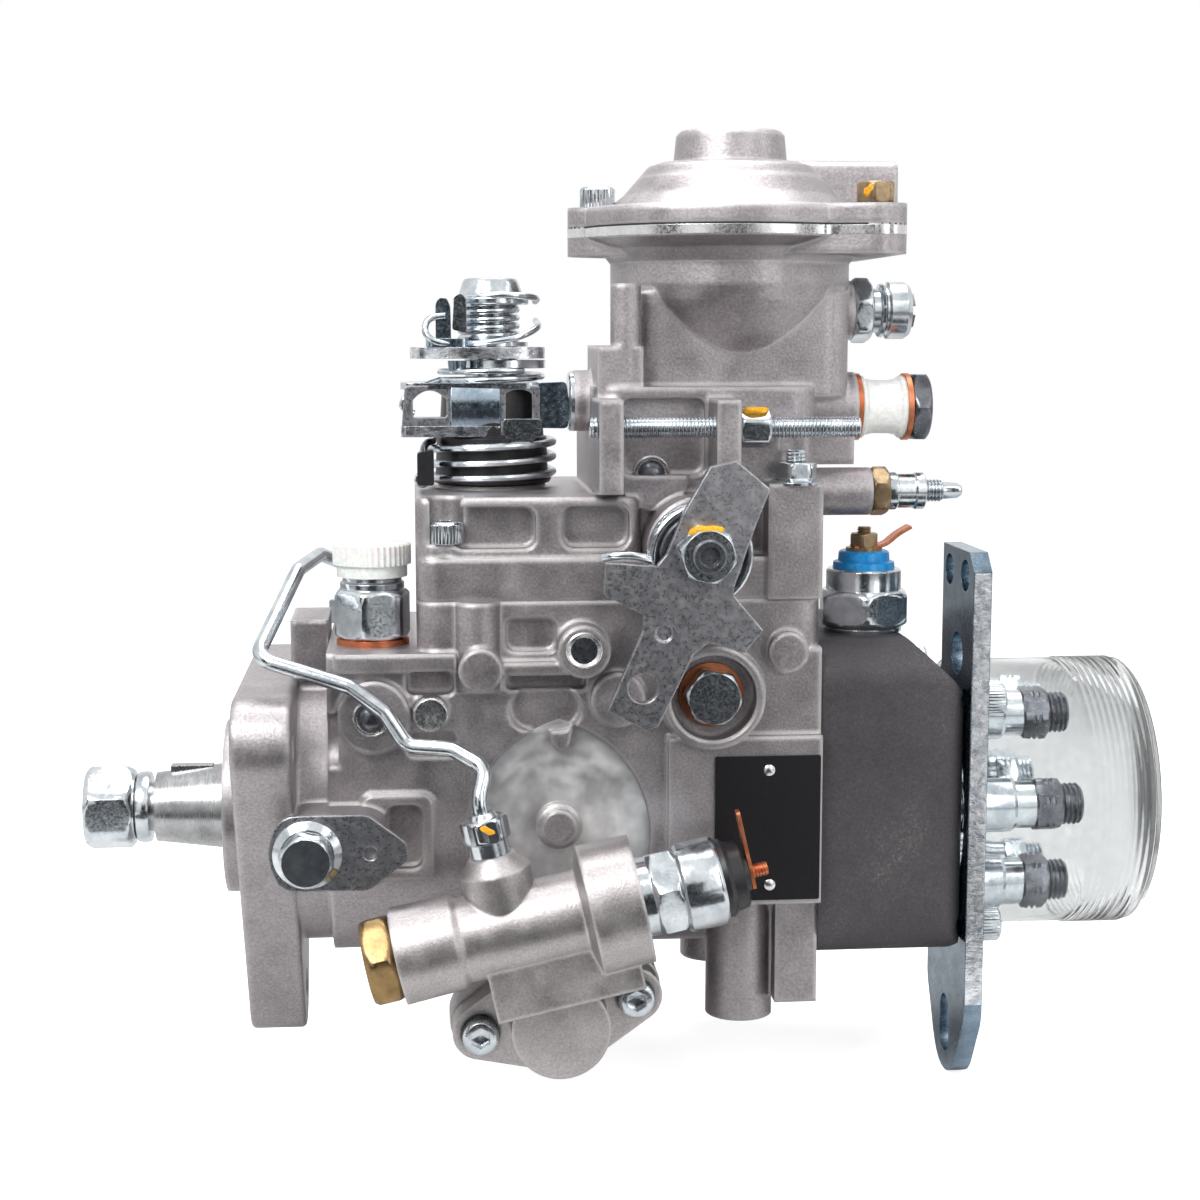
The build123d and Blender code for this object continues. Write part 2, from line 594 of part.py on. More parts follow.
def housing_bores():
    cut = cyl_x(BUSH_R, -PILOT_LENGTH - 1, FEED_X0 + 1) + cyl_x(SEAL_R, -PILOT_LENGTH - 1, BUSH_X0 - 2)
    cut += cyl_x(FEED_R, FEED_X0, CAVITY_X0 + 1)
    floor = cyl_x(CAVITY_R, CAVITY_X0, HEAD_SPIGOT_X0 + 6)
    shaft_room = floor + block(CAVITY_X0, HEAD_SPIGOT_X0 + 6, -ROOM_HALF_W, ROOM_HALF_W, 0, JOINT_Z + 1)
    cut += shaft_room + cyl_x(SPIGOT_R, HEAD_SPIGOT_X0, BODY_X1 + 1)
    cut += cyl_y(PISTON_R + FIT, -TIMING_HALF_L - 1, TIMING_HALF_L + 1, TIMING_X, TIMING_Z)
    cut += block(TIMING_X - 5, TIMING_X + 5, -10, 10, TIMING_Z, -30)
    for angle in EAR_ANGLES:
        y, z = polar(FLANGE_PCD / 2, angle)
        cut += cyl_x(FLANGE_HOLE_R, -1, FLANGE_T + 1, y, z)
        cut += cyl_x(FLANGE_NUT_R, FLANGE_T, FLANGE_T + FLANGE_NUT_ROOM, y, z)
    cut += cyl_z(INLET_BORE_R, FEED_R * 0.6, LEDGE_Z + 1, INLET_X, INLET_Y)
    cut += cyl_z(INLET_SPIGOT_R, LEDGE_Z - 9, LEDGE_Z + 1, INLET_X, INLET_Y)
    cut += cyl_x(AXLE_R, BODY_X0 + 6, CAVITY_X0 + 1, 0, GOV_Z)
    cut += cyl_y(LEVER_PIN_R, -CAVITY_R - 4, CAVITY_R + 4, LEVER_PIVOT_X, LEVER_PIVOT_Z)
    cut += cyl_y(PLUG_SINK_R, -BODY_HALF_W - 7, PLUG_SEAT_Y, PLUG_X, PLUG_Z)
    cut += cyl_y(PLUG_THREAD_R, PLUG_SEAT_Y - 1, -CAVITY_R - 1, PLUG_X, PLUG_Z)
    cut += cyl_y(4, -59, -40, LOCK_X, LOCK_Z)
    for x, z in timing_screw_places():
        for y0 in (-TIMING_HALF_L - 1, TIMING_HALF_L - 11):
            cut += cyl_y(3, y0, y0 + 12, x, z)
    for x, y in cover_screw_places():
        cut += cyl_z(3, JOINT_Z - 10, JOINT_Z + 1, x, y)
    for y, z in head_screw_places():
        cut += cyl_x(3, BODY_X1 - 10, BODY_X1 + 1, y, z)
    return cut


def cover_screw_places():
    return [(x, s * COVER_SCREW_Y) for x in (JOINT_X0 + 8, BODY_X1 - 7) for s in (-1, 1)]


def head_screw_places():
    return [(sy * (HEAD_HALF_W - 6), z) for sy in (-1, 1) for z in (HEAD_BOTTOM + 8, HEAD_TOP - 6)]


def make_shaft_bush():
    return cyl_x(BUSH_R, BUSH_X0, FEED_X0) - cyl_x(JOURNAL_R + FIT, BUSH_X0 - 1, FEED_X0 + 1)


def make_shaft_seal():
    x0 = -PILOT_LENGTH + 1
    shell = cyl_x(SEAL_R, x0, x0 + SEAL_T) - cyl_x(SEAL_R - 2, x0 - 1, x0 + SEAL_T - 1.5)
    lip = turned_x([(x0 + SEAL_T - 1.5, JOURNAL_R + FIT), (x0 + 2, JOURNAL_R + FIT), (x0 + 2, JOURNAL_R + 1.5),
                    (x0 + SEAL_T - 1.5, JOURNAL_R + 3)])
    return shell + lip - cyl_x(JOURNAL_R + FIT, x0 - 1, x0 + SEAL_T + 1)


def make_feed_cam_ring():
    ring = cyl_x(FEED_R, FEED_X0, FEED_X1)
    return ring - cyl_x(ROTOR_R + FEED_ECCENTRICITY + 0.2, FEED_X0 - 1, FEED_X1 + 1, 0, FEED_ECCENTRICITY)


def make_feed_cover_plate():
    plate = cyl_x(FEED_R, FEED_X1, FEED_X1 + COVER_PLATE_T)
    plate -= cyl_x(INNER_SHAFT_R + 0.2, FEED_X1 - 1, FEED_X1 + COVER_PLATE_T + 1)
    for angle in (45, 165, 285):
        y, z = polar(FEED_R - 4.5, angle)
        plate -= cyl_x(2.5, FEED_X1 + 1.5, FEED_X1 + COVER_PLATE_T + 1, y, z)
    return plate


# Distributor head and everything on it

def outlet_places():
    return [polar(OUTLET_R, 180 - OUTLET_TURN + 360 / CYLINDERS * n) for n in range(CYLINDERS)]


def make_head():
    side = [(BODY_X1, HEAD_BOTTOM), (HEAD_X1 - 4, HEAD_BOTTOM), (HEAD_X1, HEAD_BOTTOM + 4), (HEAD_X1, HEAD_TOP - 5),
            (HEAD_X1 - 4, HEAD_TOP), (SOLENOID_X + 9, HEAD_BOSS_TOP), (BODY_X1, HEAD_BOSS_TOP)]
    form = slab_xz(side, -HEAD_HALF_W, HEAD_HALF_W)
    plan = block(BODY_X1 - 20, HEAD_X1, -HEAD_HALF_W, HEAD_HALF_W, HEAD_BOTTOM, HEAD_BOSS_TOP)
    form &= fillet(plan.edges().filter_by(Axis.Z), 8)
    section = [(sy * (HEAD_HALF_W - 12), z, 12) for sy in (-1, 1) for z in (HEAD_BOTTOM + 12, HEAD_BOSS_TOP - 12)]
    form &= plate_yz(section, BODY_X1, HEAD_X1)
    form += cyl_x(SPIGOT_R - FIT, HEAD_SPIGOT_X0, BODY_X1)
    form -= cyl_x(PLUNGER_R + FIT, HEAD_SPIGOT_X0 - 1, PLUNGER_X1 + 3)
    form -= cyl_x(CENTRE_PLUG_R, PLUNGER_X1 + 3, HEAD_X1 + 1)
    for y, z in outlet_places():
        form -= cyl_x(OUTLET_SOCKET_R, HEAD_X1 - OUTLET_SINK, HEAD_X1 + 1, y, z)
    form -= cyl_z(SOLENOID_THREAD_R, HEAD_BOSS_TOP - 16, HEAD_BOSS_TOP + 1, SOLENOID_X, SOLENOID_Y)
    for y, z in head_screw_places():
        form -= cyl_x(3, BODY_X1 - 1, HEAD_X1 + 1, y, z)
    return form


def make_delivery_valve(y, z):
    """A delivery valve holder with its valve and spring inside."""
    x0 = HEAD_X1 - OUTLET_SINK
    end = OUTLET_X1
    hex_x0 = end - 14.5
    hex_x1 = end - 6.5
    points = [(x0, 0), (x0, OUTLET_SOCKET_R), (HEAD_X1, OUTLET_SOCKET_R), (HEAD_X1, 7.6), (hex_x0 - 6, 7.6),
              (hex_x0 - 5, 6.6), (hex_x1 + 1.5, 6.6), (hex_x1 + 1.5, OUTLET_THREAD_R), (end - 0.8, OUTLET_THREAD_R),
              (end, OUTLET_THREAD_R - 0.8), (end, 0)]
    body = turned_x(points, y, z) + hex_x(OUTLET_AF, hex_x0, hex_x1, y, z)
    body -= cyl_x(VALVE_R + FIT, x0 - 1, x0 + 22, y, z) + cyl_x(1.5, x0 + 20, end + 1, y, z)
    body -= turned_x([(end - 4, 0), (end - 4, 1.5), (end + 0.1, 4.2), (end + 0.1, 0)], y, z)
    valve = turned_x([(x0, 0), (x0, 2.5), (x0 + 5, 2.5), (x0 + 6, VALVE_R), (x0 + 9, VALVE_R), (x0 + 9, 0)], y, z)
    coil = Pos(x0 + 9.2, y, z) * Rot(0, 90, 0) * spring(VALVE_R - 1.0, 0.6, 12.8, 4)
    return [body, valve, coil]


def make_centre_plug():
    plug = cyl_x(CENTRE_PLUG_R, PLUNGER_X1 + 4, HEAD_X1) + hex_x(17, HEAD_X1, HEAD_X1 + 8)
    return plug - cyl_x(3.5, HEAD_X1 + 2, HEAD_X1 + 9)


def make_solenoid():
    z0 = HEAD_BOSS_TOP
    body = cyl_z(SOLENOID_THREAD_R, z0 - 10, z0, SOLENOID_X, SOLENOID_Y)
    body += cyl_z(11, z0, z0 + 1.5, SOLENOID_X, SOLENOID_Y)
    body += hex_z(SOLENOID_AF, z0 + 1.5, z0 + 11.5, SOLENOID_X, SOLENOID_Y)
    body += cyl_z(10.6, z0 + 11.5, z0 + 18, SOLENOID_X, SOLENOID_Y)
    return body - cyl_z(4.2, z0 - 11, z0 + 6, SOLENOID_X, SOLENOID_Y)


def make_solenoid_terminal():
    z0 = HEAD_BOSS_TOP + 18
    points = [(0, z0), (8.8, z0), (8.8, z0 + 1.8), (7.6, z0 + 2.6), (8.8, z0 + 3.4), (7.2, z0 + 5), (0, z0 + 5)]
    insulator = turned_z(points, SOLENOID_X, SOLENOID_Y)
    stud = cyl_z(2, z0 + 5, z0 + 12, SOLENOID_X, SOLENOID_Y)
    nut = hex_z(7, z0 + 6, z0 + 10, SOLENOID_X, SOLENOID_Y) + cyl_z(4.8, z0 + 5, z0 + 6, SOLENOID_X, SOLENOID_Y)
    tab = Pos(SOLENOID_X + 3, SOLENOID_Y, z0 + 10) * Rot(0, -28, 0) * block(0, 12, -2.4, 2.4, 0, 0.8)
    return [insulator, stud + nut + tab]


def make_armature():
    z0 = HEAD_BOSS_TOP - 15.8
    armature = cyl_z(4, z0 + 3, z0 + 19, SOLENOID_X, SOLENOID_Y)
    return armature + turned_z([(0, z0), (1.5, z0), (4, z0 + 3), (0, z0 + 3)], SOLENOID_X, SOLENOID_Y)


def make_rear_bracket():
    top_y1 = BRACKET_Y0 + BRACKET_TOP_W
    low_y1 = BRACKET_Y0 + BRACKET_LOW_W
    points = [(BRACKET_Y0, BRACKET_Z0 + 24), (BRACKET_Y0, BRACKET_Z1 - 5), (BRACKET_Y0 + 5, BRACKET_Z1),
              (top_y1, BRACKET_Z1), (top_y1, 40), (low_y1, 30), (low_y1, BRACKET_Z0 + 24)]
    face = make_face(Polyline(*points, close=True))
    plate = extrude(Plane((BRACKET_X0, 0, 0), x_dir=(0, 1, 0), z_dir=(1, 0, 0)) * face, BRACKET_T)
    foot_y = (BRACKET_Y0 + low_y1) / 2
    plate += plate_yz([(BRACKET_Y0 + 13, BRACKET_Z0 + 25, 13), (low_y1 - 10, BRACKET_Z0 + 25, 10),
                       (foot_y, BRACKET_Z0 + 14, 14)], BRACKET_X0, BRACKET_X1)
    plate -= cyl_x(BRACKET_OPENING_R, BRACKET_X0 - 1, BRACKET_X1 + 1)
    for y, z in bracket_holes():
        plate -= cyl_x(BRACKET_HOLE_R, BRACKET_X0 - 1, BRACKET_X1 + 1, y, z)
    plate -= cyl_x(BRACKET_WIDE_R, BRACKET_X0 - 1, BRACKET_X1 + 1, BRACKET_Y0 + 16, BRACKET_WIDE_Z)
    slot_half = SLOT_LENGTH / 2 - SLOT_R
    slot = [(foot_y, SLOT_Z - slot_half, SLOT_R), (foot_y, SLOT_Z + slot_half, SLOT_R)]
    plate -= plate_yz(slot, BRACKET_X0 - 1, BRACKET_X1 + 1)
    for y, z in head_screw_places():
        plate -= cyl_x(3.2, BRACKET_X0 - 1, BRACKET_X1 + 1, y, z)
    return plate


def bracket_holes():
    y0 = BRACKET_Y0 + 9
    return [(y0, BRACKET_HOLE_Z), (y0 + BRACKET_HOLE_GAP, BRACKET_HOLE_Z)]


def make_outlet_cap():
    x0 = BRACKET_X1 + 0.2
    x1 = x0 + CAP_LENGTH
    outside = [(x0, CAP_R), (x1 - 9, CAP_R - 1), (x1 - 3, CAP_R - 3.5), (x1, CAP_R - 9), (x1, 0)]
    inside = [(x1 - CAP_WALL, 0), (x1 - CAP_WALL, CAP_R - 10), (x1 - 4, CAP_R - 4.8), (x1 - 10, CAP_R - 1 - CAP_WALL)]
    return turned_x([(x0, CAP_R - CAP_WALL)] + outside + inside)


# Governor cover with the boost tower

def make_governor_cover():
    skirt = block(JOINT_X0, BODY_X1, -BODY_HALF_W, BODY_HALF_W, JOINT_Z, COVER_SKIRT_Z)
    skirt = fillet(skirt.edges().filter_by(Axis.Z), 6)
    top = block(JOINT_X0, COVER_BLOCK_X1, -BODY_HALF_W + 1, BODY_HALF_W - 1, COVER_SKIRT_Z - 1, COVER_BLOCK_Z)
    top = fillet(top.edges().filter_by(Axis.Z), 5)
    cover = skirt + fillet(top.faces().sort_by(Axis.Z)[-1].edges(), 1.5)
    for y in (-36, 36):
        cover += block(BODY_X1 - 15.5, BODY_X1 - 0.5, y - 7.5, y + 7.5, JOINT_Z, REAR_SCREW_Z)
    tower = block(TOWER_X0, TOWER_X1, -34, 34, COVER_SKIRT_Z - 1, TOWER_Z)
    cover += fillet(tower.edges().filter_by(Axis.Z), 7)
    bowl = [(0, TOWER_Z - 24), (20, TOWER_Z - 4), (24, 131), (BOWL_R - 1, 146), (BOWL_R, 150), (BOWL_R, 156),
            (BOWL_R + 3, 160), (LID_R - 4, 161), (LID_R, 163), (LID_R, BOWL_Z1), (0, BOWL_Z1)]
    cover += turned_z(bowl, BOWL_X, 0)
    flank = block(BOWL_X - 31.5, BOWL_X + 31.5, -24, 24, TOWER_Z - 3, 148.5)
    cover += fillet(flank.edges().filter_by(Axis.Z), 8)
    cover += plate_xy([(x, y, 8.5) for x, y in LID_SCREWS] + [(BOWL_X, 0, 30)], 158, BOWL_Z1)
    cover += cover_bosses()
    return cover - cover_pockets() - cover_hollows()


def cover_pockets():
    """Cast pockets in the lever side of the block and of the tower."""
    cut = side_pocket(59, 82, 78.6, 90.3, -36) + side_pocket(89, 107.5, 78.6, 90.3, -36)
    tower = [(x, z, 3) for x in (109, 126) for z in (101, 116)]
    return cut + plate_xz(tower, -40, -31)


def cover_bosses():
    form = cyl_z(15.5, COVER_BLOCK_Z - 1, COVER_BLOCK_Z + 1, THROTTLE_X, 0)
    form += cyl_z(10, COVER_BLOCK_Z, GUIDE_Z0, THROTTLE_X, 0)
    form += cyl_x(8.6, TOWER_X0 - 4, TOWER_X0 + 30, -10, 117.5)
    form += cyl_x(OVERFLOW_BOSS_R, TOWER_X1 - 30, OVERFLOW_X0, OVERFLOW_Y, OVERFLOW_Z)
    form += block(TOWER_X1 - 12, OVERFLOW_X0 - 1, OVERFLOW_Y - 8, OVERFLOW_Y + 8, OVERFLOW_Z - 16, OVERFLOW_Z)
    form += cyl_x(FULL_LOAD_BOSS_R, TOWER_X1 - 12, FULL_LOAD_X0, FULL_LOAD_Y, FULL_LOAD_Z)
    form += cyl_x(8.5, TOWER_X1, VENT_X0, 0, VENT_Z)
    for x in SPEED_LUGS:
        form += block(x - 3.2, x + 3.2, SPEED_SCREW_Y - 6, -30, STOP_Z + 15, SPEED_SCREW_Z + 7.5)
    form += cyl_y(9.5, -38, -26, 114.5, 98) + cyl_y(14.2, STOP_BOSS_Y, -30, STOP_X, STOP_Z)
    form += cyl_z(4.2, 112, 150, 107.5, -29) + block(TOWER_X0 + 1, 112, -33, 0, TOWER_Z - 6, 133)
    form += cyl_y(6, 30, 40, 114.5, 98)
    return form


def cover_hollows():
    room = block(CAVITY_X0, BODY_X1 - 20, 1 - ROOM_HALF_W, ROOM_HALF_W - 1, JOINT_Z - 1, COVER_BLOCK_Z - 8)
    room += block(TOWER_X0 + 6, TOWER_X1 - 8, -26, 26, JOINT_Z, TOWER_Z - 12)
    room += cyl_z(BOWL_R - COVER_WALL, 148, BOWL_Z1 + 1, BOWL_X, 0)
    room += cyl_z(BOOST_PIN_R + FIT, TOWER_Z - 14, 150, BOWL_X, 0)
    room += cyl_z(THROTTLE_R + FIT, COVER_BLOCK_Z - 10, GUIDE_Z0 + 1, THROTTLE_X, 0)
    room += cyl_y(STOP_SHAFT_R + FIT, STOP_BOSS_Y - 1, 2 - ROOM_HALF_W, STOP_X, STOP_Z)
    room += cyl_x(5, TOWER_X1 - 14, OVERFLOW_X0 + 1, OVERFLOW_Y, OVERFLOW_Z)
    room += cyl_x(3, TOWER_X1 - 14, FULL_LOAD_X0 + 1, FULL_LOAD_Y, FULL_LOAD_Z)
    room += cyl_x(4, VENT_X0 - 8, VENT_X0 + 1, 0, VENT_Z)
    for x in SPEED_LUGS:
        room += cyl_x(3, x - 4, x + 4, SPEED_SCREW_Y, SPEED_SCREW_Z)
    for x, y in cover_screw_places():
        room += cyl_z(3, JOINT_Z - 1, 120, x, y)
        seat_z = COVER_SKIRT_Z + 4 if x < BOWL_X - 40 else REAR_SCREW_Z
        room += cyl_z(5.4, seat_z, seat_z + 16, x, y)
    for x, y in LID_SCREWS:
        room += cyl_z(3, BOWL_Z1 - 12, BOWL_Z1 + 1, x, y)
    return room


def make_boost_lid():
    z0 = BOWL_Z1
    z1 = z0 + LID_FLANGE_T
    lid = turned_z([(0, z0), (LID_R, z0), (LID_R, z1 - 1), (LID_R - 1, z1), (DOME_R + 5, z1), (DOME_R, z1 + 4),
                    (DOME_R - 7, DOME_Z1 - 1), (DOME_R - 10, DOME_Z1), (KNOB_R + 0.8, DOME_Z1),
                    (KNOB_R, KNOB_Z1 - 1.2), (KNOB_R - 1.2, KNOB_Z1), (0, KNOB_Z1)], BOWL_X, 0)
    lid += plate_xy([(x, y, 8.5) for x, y in LID_SCREWS] + [(BOWL_X, 0, 30)], z0, z1)
    lid += fillet(block(BOWL_X + 18, 190, 2, 22, z1 - 1, 186).edges().filter_by(Axis.X), 4)
    lid -= cyl_z(DOME_R - 5, z0 - 1, DOME_Z1 - 4, BOWL_X, 0) + cyl_z(KNOB_R - 5, z0, KNOB_Z1 - 4, BOWL_X, 0)
    for x, y in LID_SCREWS:
        lid -= cyl_z(3, z0 - 1, z1 + 1, x, y) + cyl_z(5.4, z1, z1 + 20, x, y)
    return lid


def make_boost_pin():
    pin = cyl_z(BOOST_PIN_R, TOWER_Z - 22, DIAPHRAGM_Z, BOWL_X, 0)
    plate = cyl_z(20, DIAPHRAGM_Z - 1.5, DIAPHRAGM_Z + 1.5, BOWL_X, 0)
    diaphragm = cyl_z(BOWL_R - COVER_WALL - 0.3, DIAPHRAGM_Z - 0.4, DIAPHRAGM_Z + 0.4, BOWL_X, 0)
    return pin + plate + diaphragm


def make_return_springs():
    """Plunger yoke and springs, timing spring and boost spring, each at its shortest working length."""
    yoke = cyl_x(CAM_R - 6, CAM_X1 + 0.2, CAM_X1 + 2.2) - cyl_x(PLUNGER_R + 2, CAM_X1, CAM_X1 + 3)
    yoke &= block(CAM_X1, CAM_X1 + 3, -CAM_R, CAM_R, -9, 9)
    solids = [yoke]
    length = HEAD_SPIGOT_X0 - CAM_X1 - 2.2
    for y in (-20, 20):
        solids.append(Pos(CAM_X1 + 2.2, y, 0) * Rot(0, 90, 0) * spring(5.5, 1.2, length, 7))
    timing_length = TIMING_HALF_L - PISTON_LENGTH / 2 - TIMING_TRAVEL - 0.5
    solids.append(Pos(TIMING_X, TIMING_HALF_L, TIMING_Z) * Rot(90, 0, 0) * spring(8, 1.3, timing_length, 4))
    boost_length = DIAPHRAGM_Z - 1.5 - BOOST_TRAVEL - 148 - 0.3
    solids.append(Pos(BOWL_X, 0, 148) * spring(14, 1.2, boost_length, 2))
    return solids


# Levers

def make_throttle_shaft():
    shaft = cyl_z(THROTTLE_R, COVER_BLOCK_Z - 13, THROTTLE_TOP - 4, THROTTLE_X, 0)
    crank = block(THROTTLE_X - 3, THROTTLE_X + 14, -3, 3, COVER_BLOCK_Z - 15.5, COVER_BLOCK_Z - 11.5)
    crank += cyl_z(2, COVER_BLOCK_Z - 22, COVER_BLOCK_Z - 12, THROTTLE_X + 11, 0)
    return shaft + crank


def make_governor_spring():
    x0 = THROTTLE_X + 13.2
    return Pos(x0, 0, GOV_SPRING_Z) * Rot(0, 90, 0) * spring(4, 0.9, GOV_SPRING_X1 - x0, 7)


def make_throttle_lever():
    """The lever stack on the throttle shaft: two plates, cap nut and a bent carrier with its ball arm."""
    x = THROTTLE_X
    lever = plate_xy([(x, 0, 13), (x - 17, -4, 7), (x + 10, -6, 6)], 130, 133.2)
    lever += plate_xy([(x, 0, 14), (x + 12, 4, 5)], 126.5, 129)
    lever += cyl_z(9, 113, 131, x, 0) + block(x - 20, x - 14, -9, -6, 131, 149)
    lever += turned_z([(0, 133), (9, 133), (9, THROTTLE_TOP - 3), (8, THROTTLE_TOP + 0.5), (0, THROTTLE_TOP + 2)], x, 0)
    carrier = block(x - 19, x + 14, -15, 15, 108, 120) - block(x - 16.5, x + 11.5, -12.5, 12.5, 107, 118)
    carrier -= block(x - 8, x + 6, -20, 20, 109, 114) + block(x - 30, x + 30, -9, 9, 109, 114)
    lever += carrier + cyl_x(6, x + 13, x + 22, -8, 117)
    lever -= cyl_z(THROTTLE_R, 100, THROTTLE_TOP - 4, x, 0)
    return lever


def make_throttle_spring():
    """The black spring guide and the torsion spring round it."""
    guide = cyl_z(16, GUIDE_Z0, 107, THROTTLE_X, 0) - cyl_z(THROTTLE_R + 0.5, GUIDE_Z0 - 1, 108, THROTTLE_X, 0)
    coil = Pos(THROTTLE_X, 0, GUIDE_Z0 + 0.2) * spring(17.4, 1.2, 12.0, 3)
    return [guide, coil]


def stop_outline():
    """Side outline of the stop lever, as (x, z) about its shaft."""
    return [(1, 23), (8, 24.5), (17, 17), (13, 7), (7.5, -9), (7.5, -11), (15.5, -20.5), (10.5, -26.5),
            (1, -23.5), (-3, -26.5), (-12.5, -46), (-15.5, -47), (-26, -41.5), (-16.5, -20), (-16.5, -16),
            (-27, -10.5), (-26.5, -2), (-13, -3), (-10.5, 0), (-6, 11)]


def make_stop_lever():
    face = make_face(Polyline(*[(STOP_X + x, STOP_Z + z) for x, z in stop_outline()], close=True))
    plate = extrude(Plane((0, STOP_Y + STOP_T, 0), x_dir=(1, 0, 0), z_dir=(0, -1, 0)) * face, STOP_T)
    plate -= cyl_y(4, STOP_Y - 1, STOP_Y + STOP_T + 1, STOP_X - 16.5, STOP_Z - 35.5)
    plate -= cyl_y(2.2, STOP_Y - 1, STOP_Y + 0.8, STOP_X - 11, STOP_Z - 21)
    shaft = cyl_y(STOP_SHAFT_R, STOP_Y - 5, 2 - ROOM_HALF_W, STOP_X, STOP_Z)
    shaft += cyl_y(7, STOP_Y + STOP_T, STOP_BOSS_Y - 0.3, STOP_X, STOP_Z)
    nut = hex_y(13, STOP_Y - 5, STOP_Y, STOP_X, STOP_Z)
    crank = block(STOP_X - 3.5, STOP_X + 3.5, 2 - ROOM_HALF_W, 6 - ROOM_HALF_W, STOP_Z - 14, STOP_Z + 4)
    return plate + shaft + nut + crank


# Fittings

def make_inlet_fitting():
    z0 = LEDGE_Z + 1.5
    z1 = z0 + INLET_LENGTH
    body = cyl_z(INLET_SPIGOT_R, LEDGE_Z - 8, z0, INLET_X, INLET_Y)
    body += hex_z(INLET_AF, z0, z1 - INLET_COLLAR_L, INLET_X, INLET_Y)
    body += cyl_z(INLET_COLLAR_R, z1 - INLET_COLLAR_L - 1, z1, INLET_X, INLET_Y)
    body -= cyl_z(INLET_BORE_R, LEDGE_Z - 9, z1 + 1, INLET_X, INLET_Y)
    return body - cyl_z(INLET_PORT_R, z1 - 12, z1 + 1, INLET_X, INLET_Y)


def make_inlet_cap():
    """Transit cap that clips over the collar of the inlet fitting and leaves its bore clear."""
    z1 = LEDGE_Z + 1.5 + INLET_LENGTH
    cap = cyl_z(INLET_COLLAR_R + 1.3, z1 - INLET_COLLAR_L + LOOSE, z1 + 1.6, INLET_X, INLET_Y)
    cap += cyl_z(11.0, z1 + 1.6, z1 + 7.6, INLET_X, INLET_Y)
    return cap - cyl_z(INLET_COLLAR_R + FIT, z1 - INLET_COLLAR_L, z1 + LOOSE, INLET_X, INLET_Y)


def make_copper_washers():
    ring = cyl_z(INLET_AF / 2 + 0.6, LEDGE_Z, LEDGE_Z + 1.5, INLET_X, INLET_Y)
    solids = [ring - cyl_z(INLET_SPIGOT_R, 0, 90, INLET_X, INLET_Y)]
    for x in (OVERFLOW_X0, OVERFLOW_X0 + 1.5 + OVERFLOW_SLEEVE_L):
        solids.append(cyl_x(9.6, x, x + 1.5, OVERFLOW_Y, OVERFLOW_Z) - cyl_x(5, x - 1, x + 3, OVERFLOW_Y, OVERFLOW_Z))
    seat = cyl_y(9, PLUG_SEAT_Y - 1.5, PLUG_SEAT_Y, PLUG_X, PLUG_Z) - cyl_y(PLUG_THREAD_R, -60, 0, PLUG_X, PLUG_Z)
    return solids + [seat]


def make_overflow_sleeve():
    x0 = OVERFLOW_X0 + 1.5
    x1 = x0 + OVERFLOW_SLEEVE_L
    points = [(x0, 5.2), (x0, 9), (x0 + 1, 8.6), (x0 + 3, 7.6), (x1 - 3, 7.6), (x1 - 1, 8.6), (x1, 9), (x1, 5.2)]
    return turned_x(points, OVERFLOW_Y, OVERFLOW_Z)


def make_overflow_bolt():
    x1 = OVERFLOW_X0 + 3 + OVERFLOW_SLEEVE_L
    bolt = cyl_x(5, OVERFLOW_X0 - 12, x1, OVERFLOW_Y, OVERFLOW_Z) + hex_x(18.5, x1, x1 + 5.5, OVERFLOW_Y, OVERFLOW_Z)
    return bolt - cyl_x(2, OVERFLOW_X0 - 13, x1 - 4, OVERFLOW_Y, OVERFLOW_Z)


def make_full_load_screw():
    x0 = FULL_LOAD_X0
    y = FULL_LOAD_Y
    z = FULL_LOAD_Z
    body = cyl_x(3, TOWER_X1 - 12, x0 + 26, y, z) + hex_x(12, x0, x0 + 5, y, z) + cyl_x(5.2, x0 + 5, x0 + 15.5, y, z)
    return body + turned_x([(x0 + 15.5, 0), (x0 + 15.5, 3.6), (x0 + 20, 3.6), (x0 + 27, 1.8), (x0 + 27, 0)], y, z)


def make_max_speed_screw():
    x = SPEED_LUGS[1] + 3.2
    rod = cyl_x(3, TOWER_X0 - 2.5, 169.6, SPEED_SCREW_Y, SPEED_SCREW_Z)
    return rod + hex_x(10, x, x + 8.5, SPEED_SCREW_Y, SPEED_SCREW_Z)


def make_vent_fitting():
    x0 = VENT_X0
    body = cyl_x(4, x0 - 7, x0, 0, VENT_Z) + hex_x(17, x0, x0 + 5.5, 0, VENT_Z)
    body += cyl_x(6.4, x0 + 5.5, x0 + 9.5, 0, VENT_Z)
    body += turned_x([(x0 + 9.5, 0), (x0 + 9.5, 8.2), (x0 + 14, 8.2), (x0 + 18, 5.5), (x0 + 18.7, 0)], 0, VENT_Z)
    return body - block(x0 + 14, x0 + 19, -10, 10, VENT_Z - 1, VENT_Z + 1)


def make_side_plug():
    y1 = PLUG_SEAT_Y - 1.5
    plug = hex_y(14.5, y1 - 7, y1, PLUG_X, PLUG_Z) + cyl_y(PLUG_THREAD_R, y1, -CAVITY_R - 1, PLUG_X, PLUG_Z)
    return plug + cyl_y(8, y1 - 1, y1, PLUG_X, PLUG_Z)


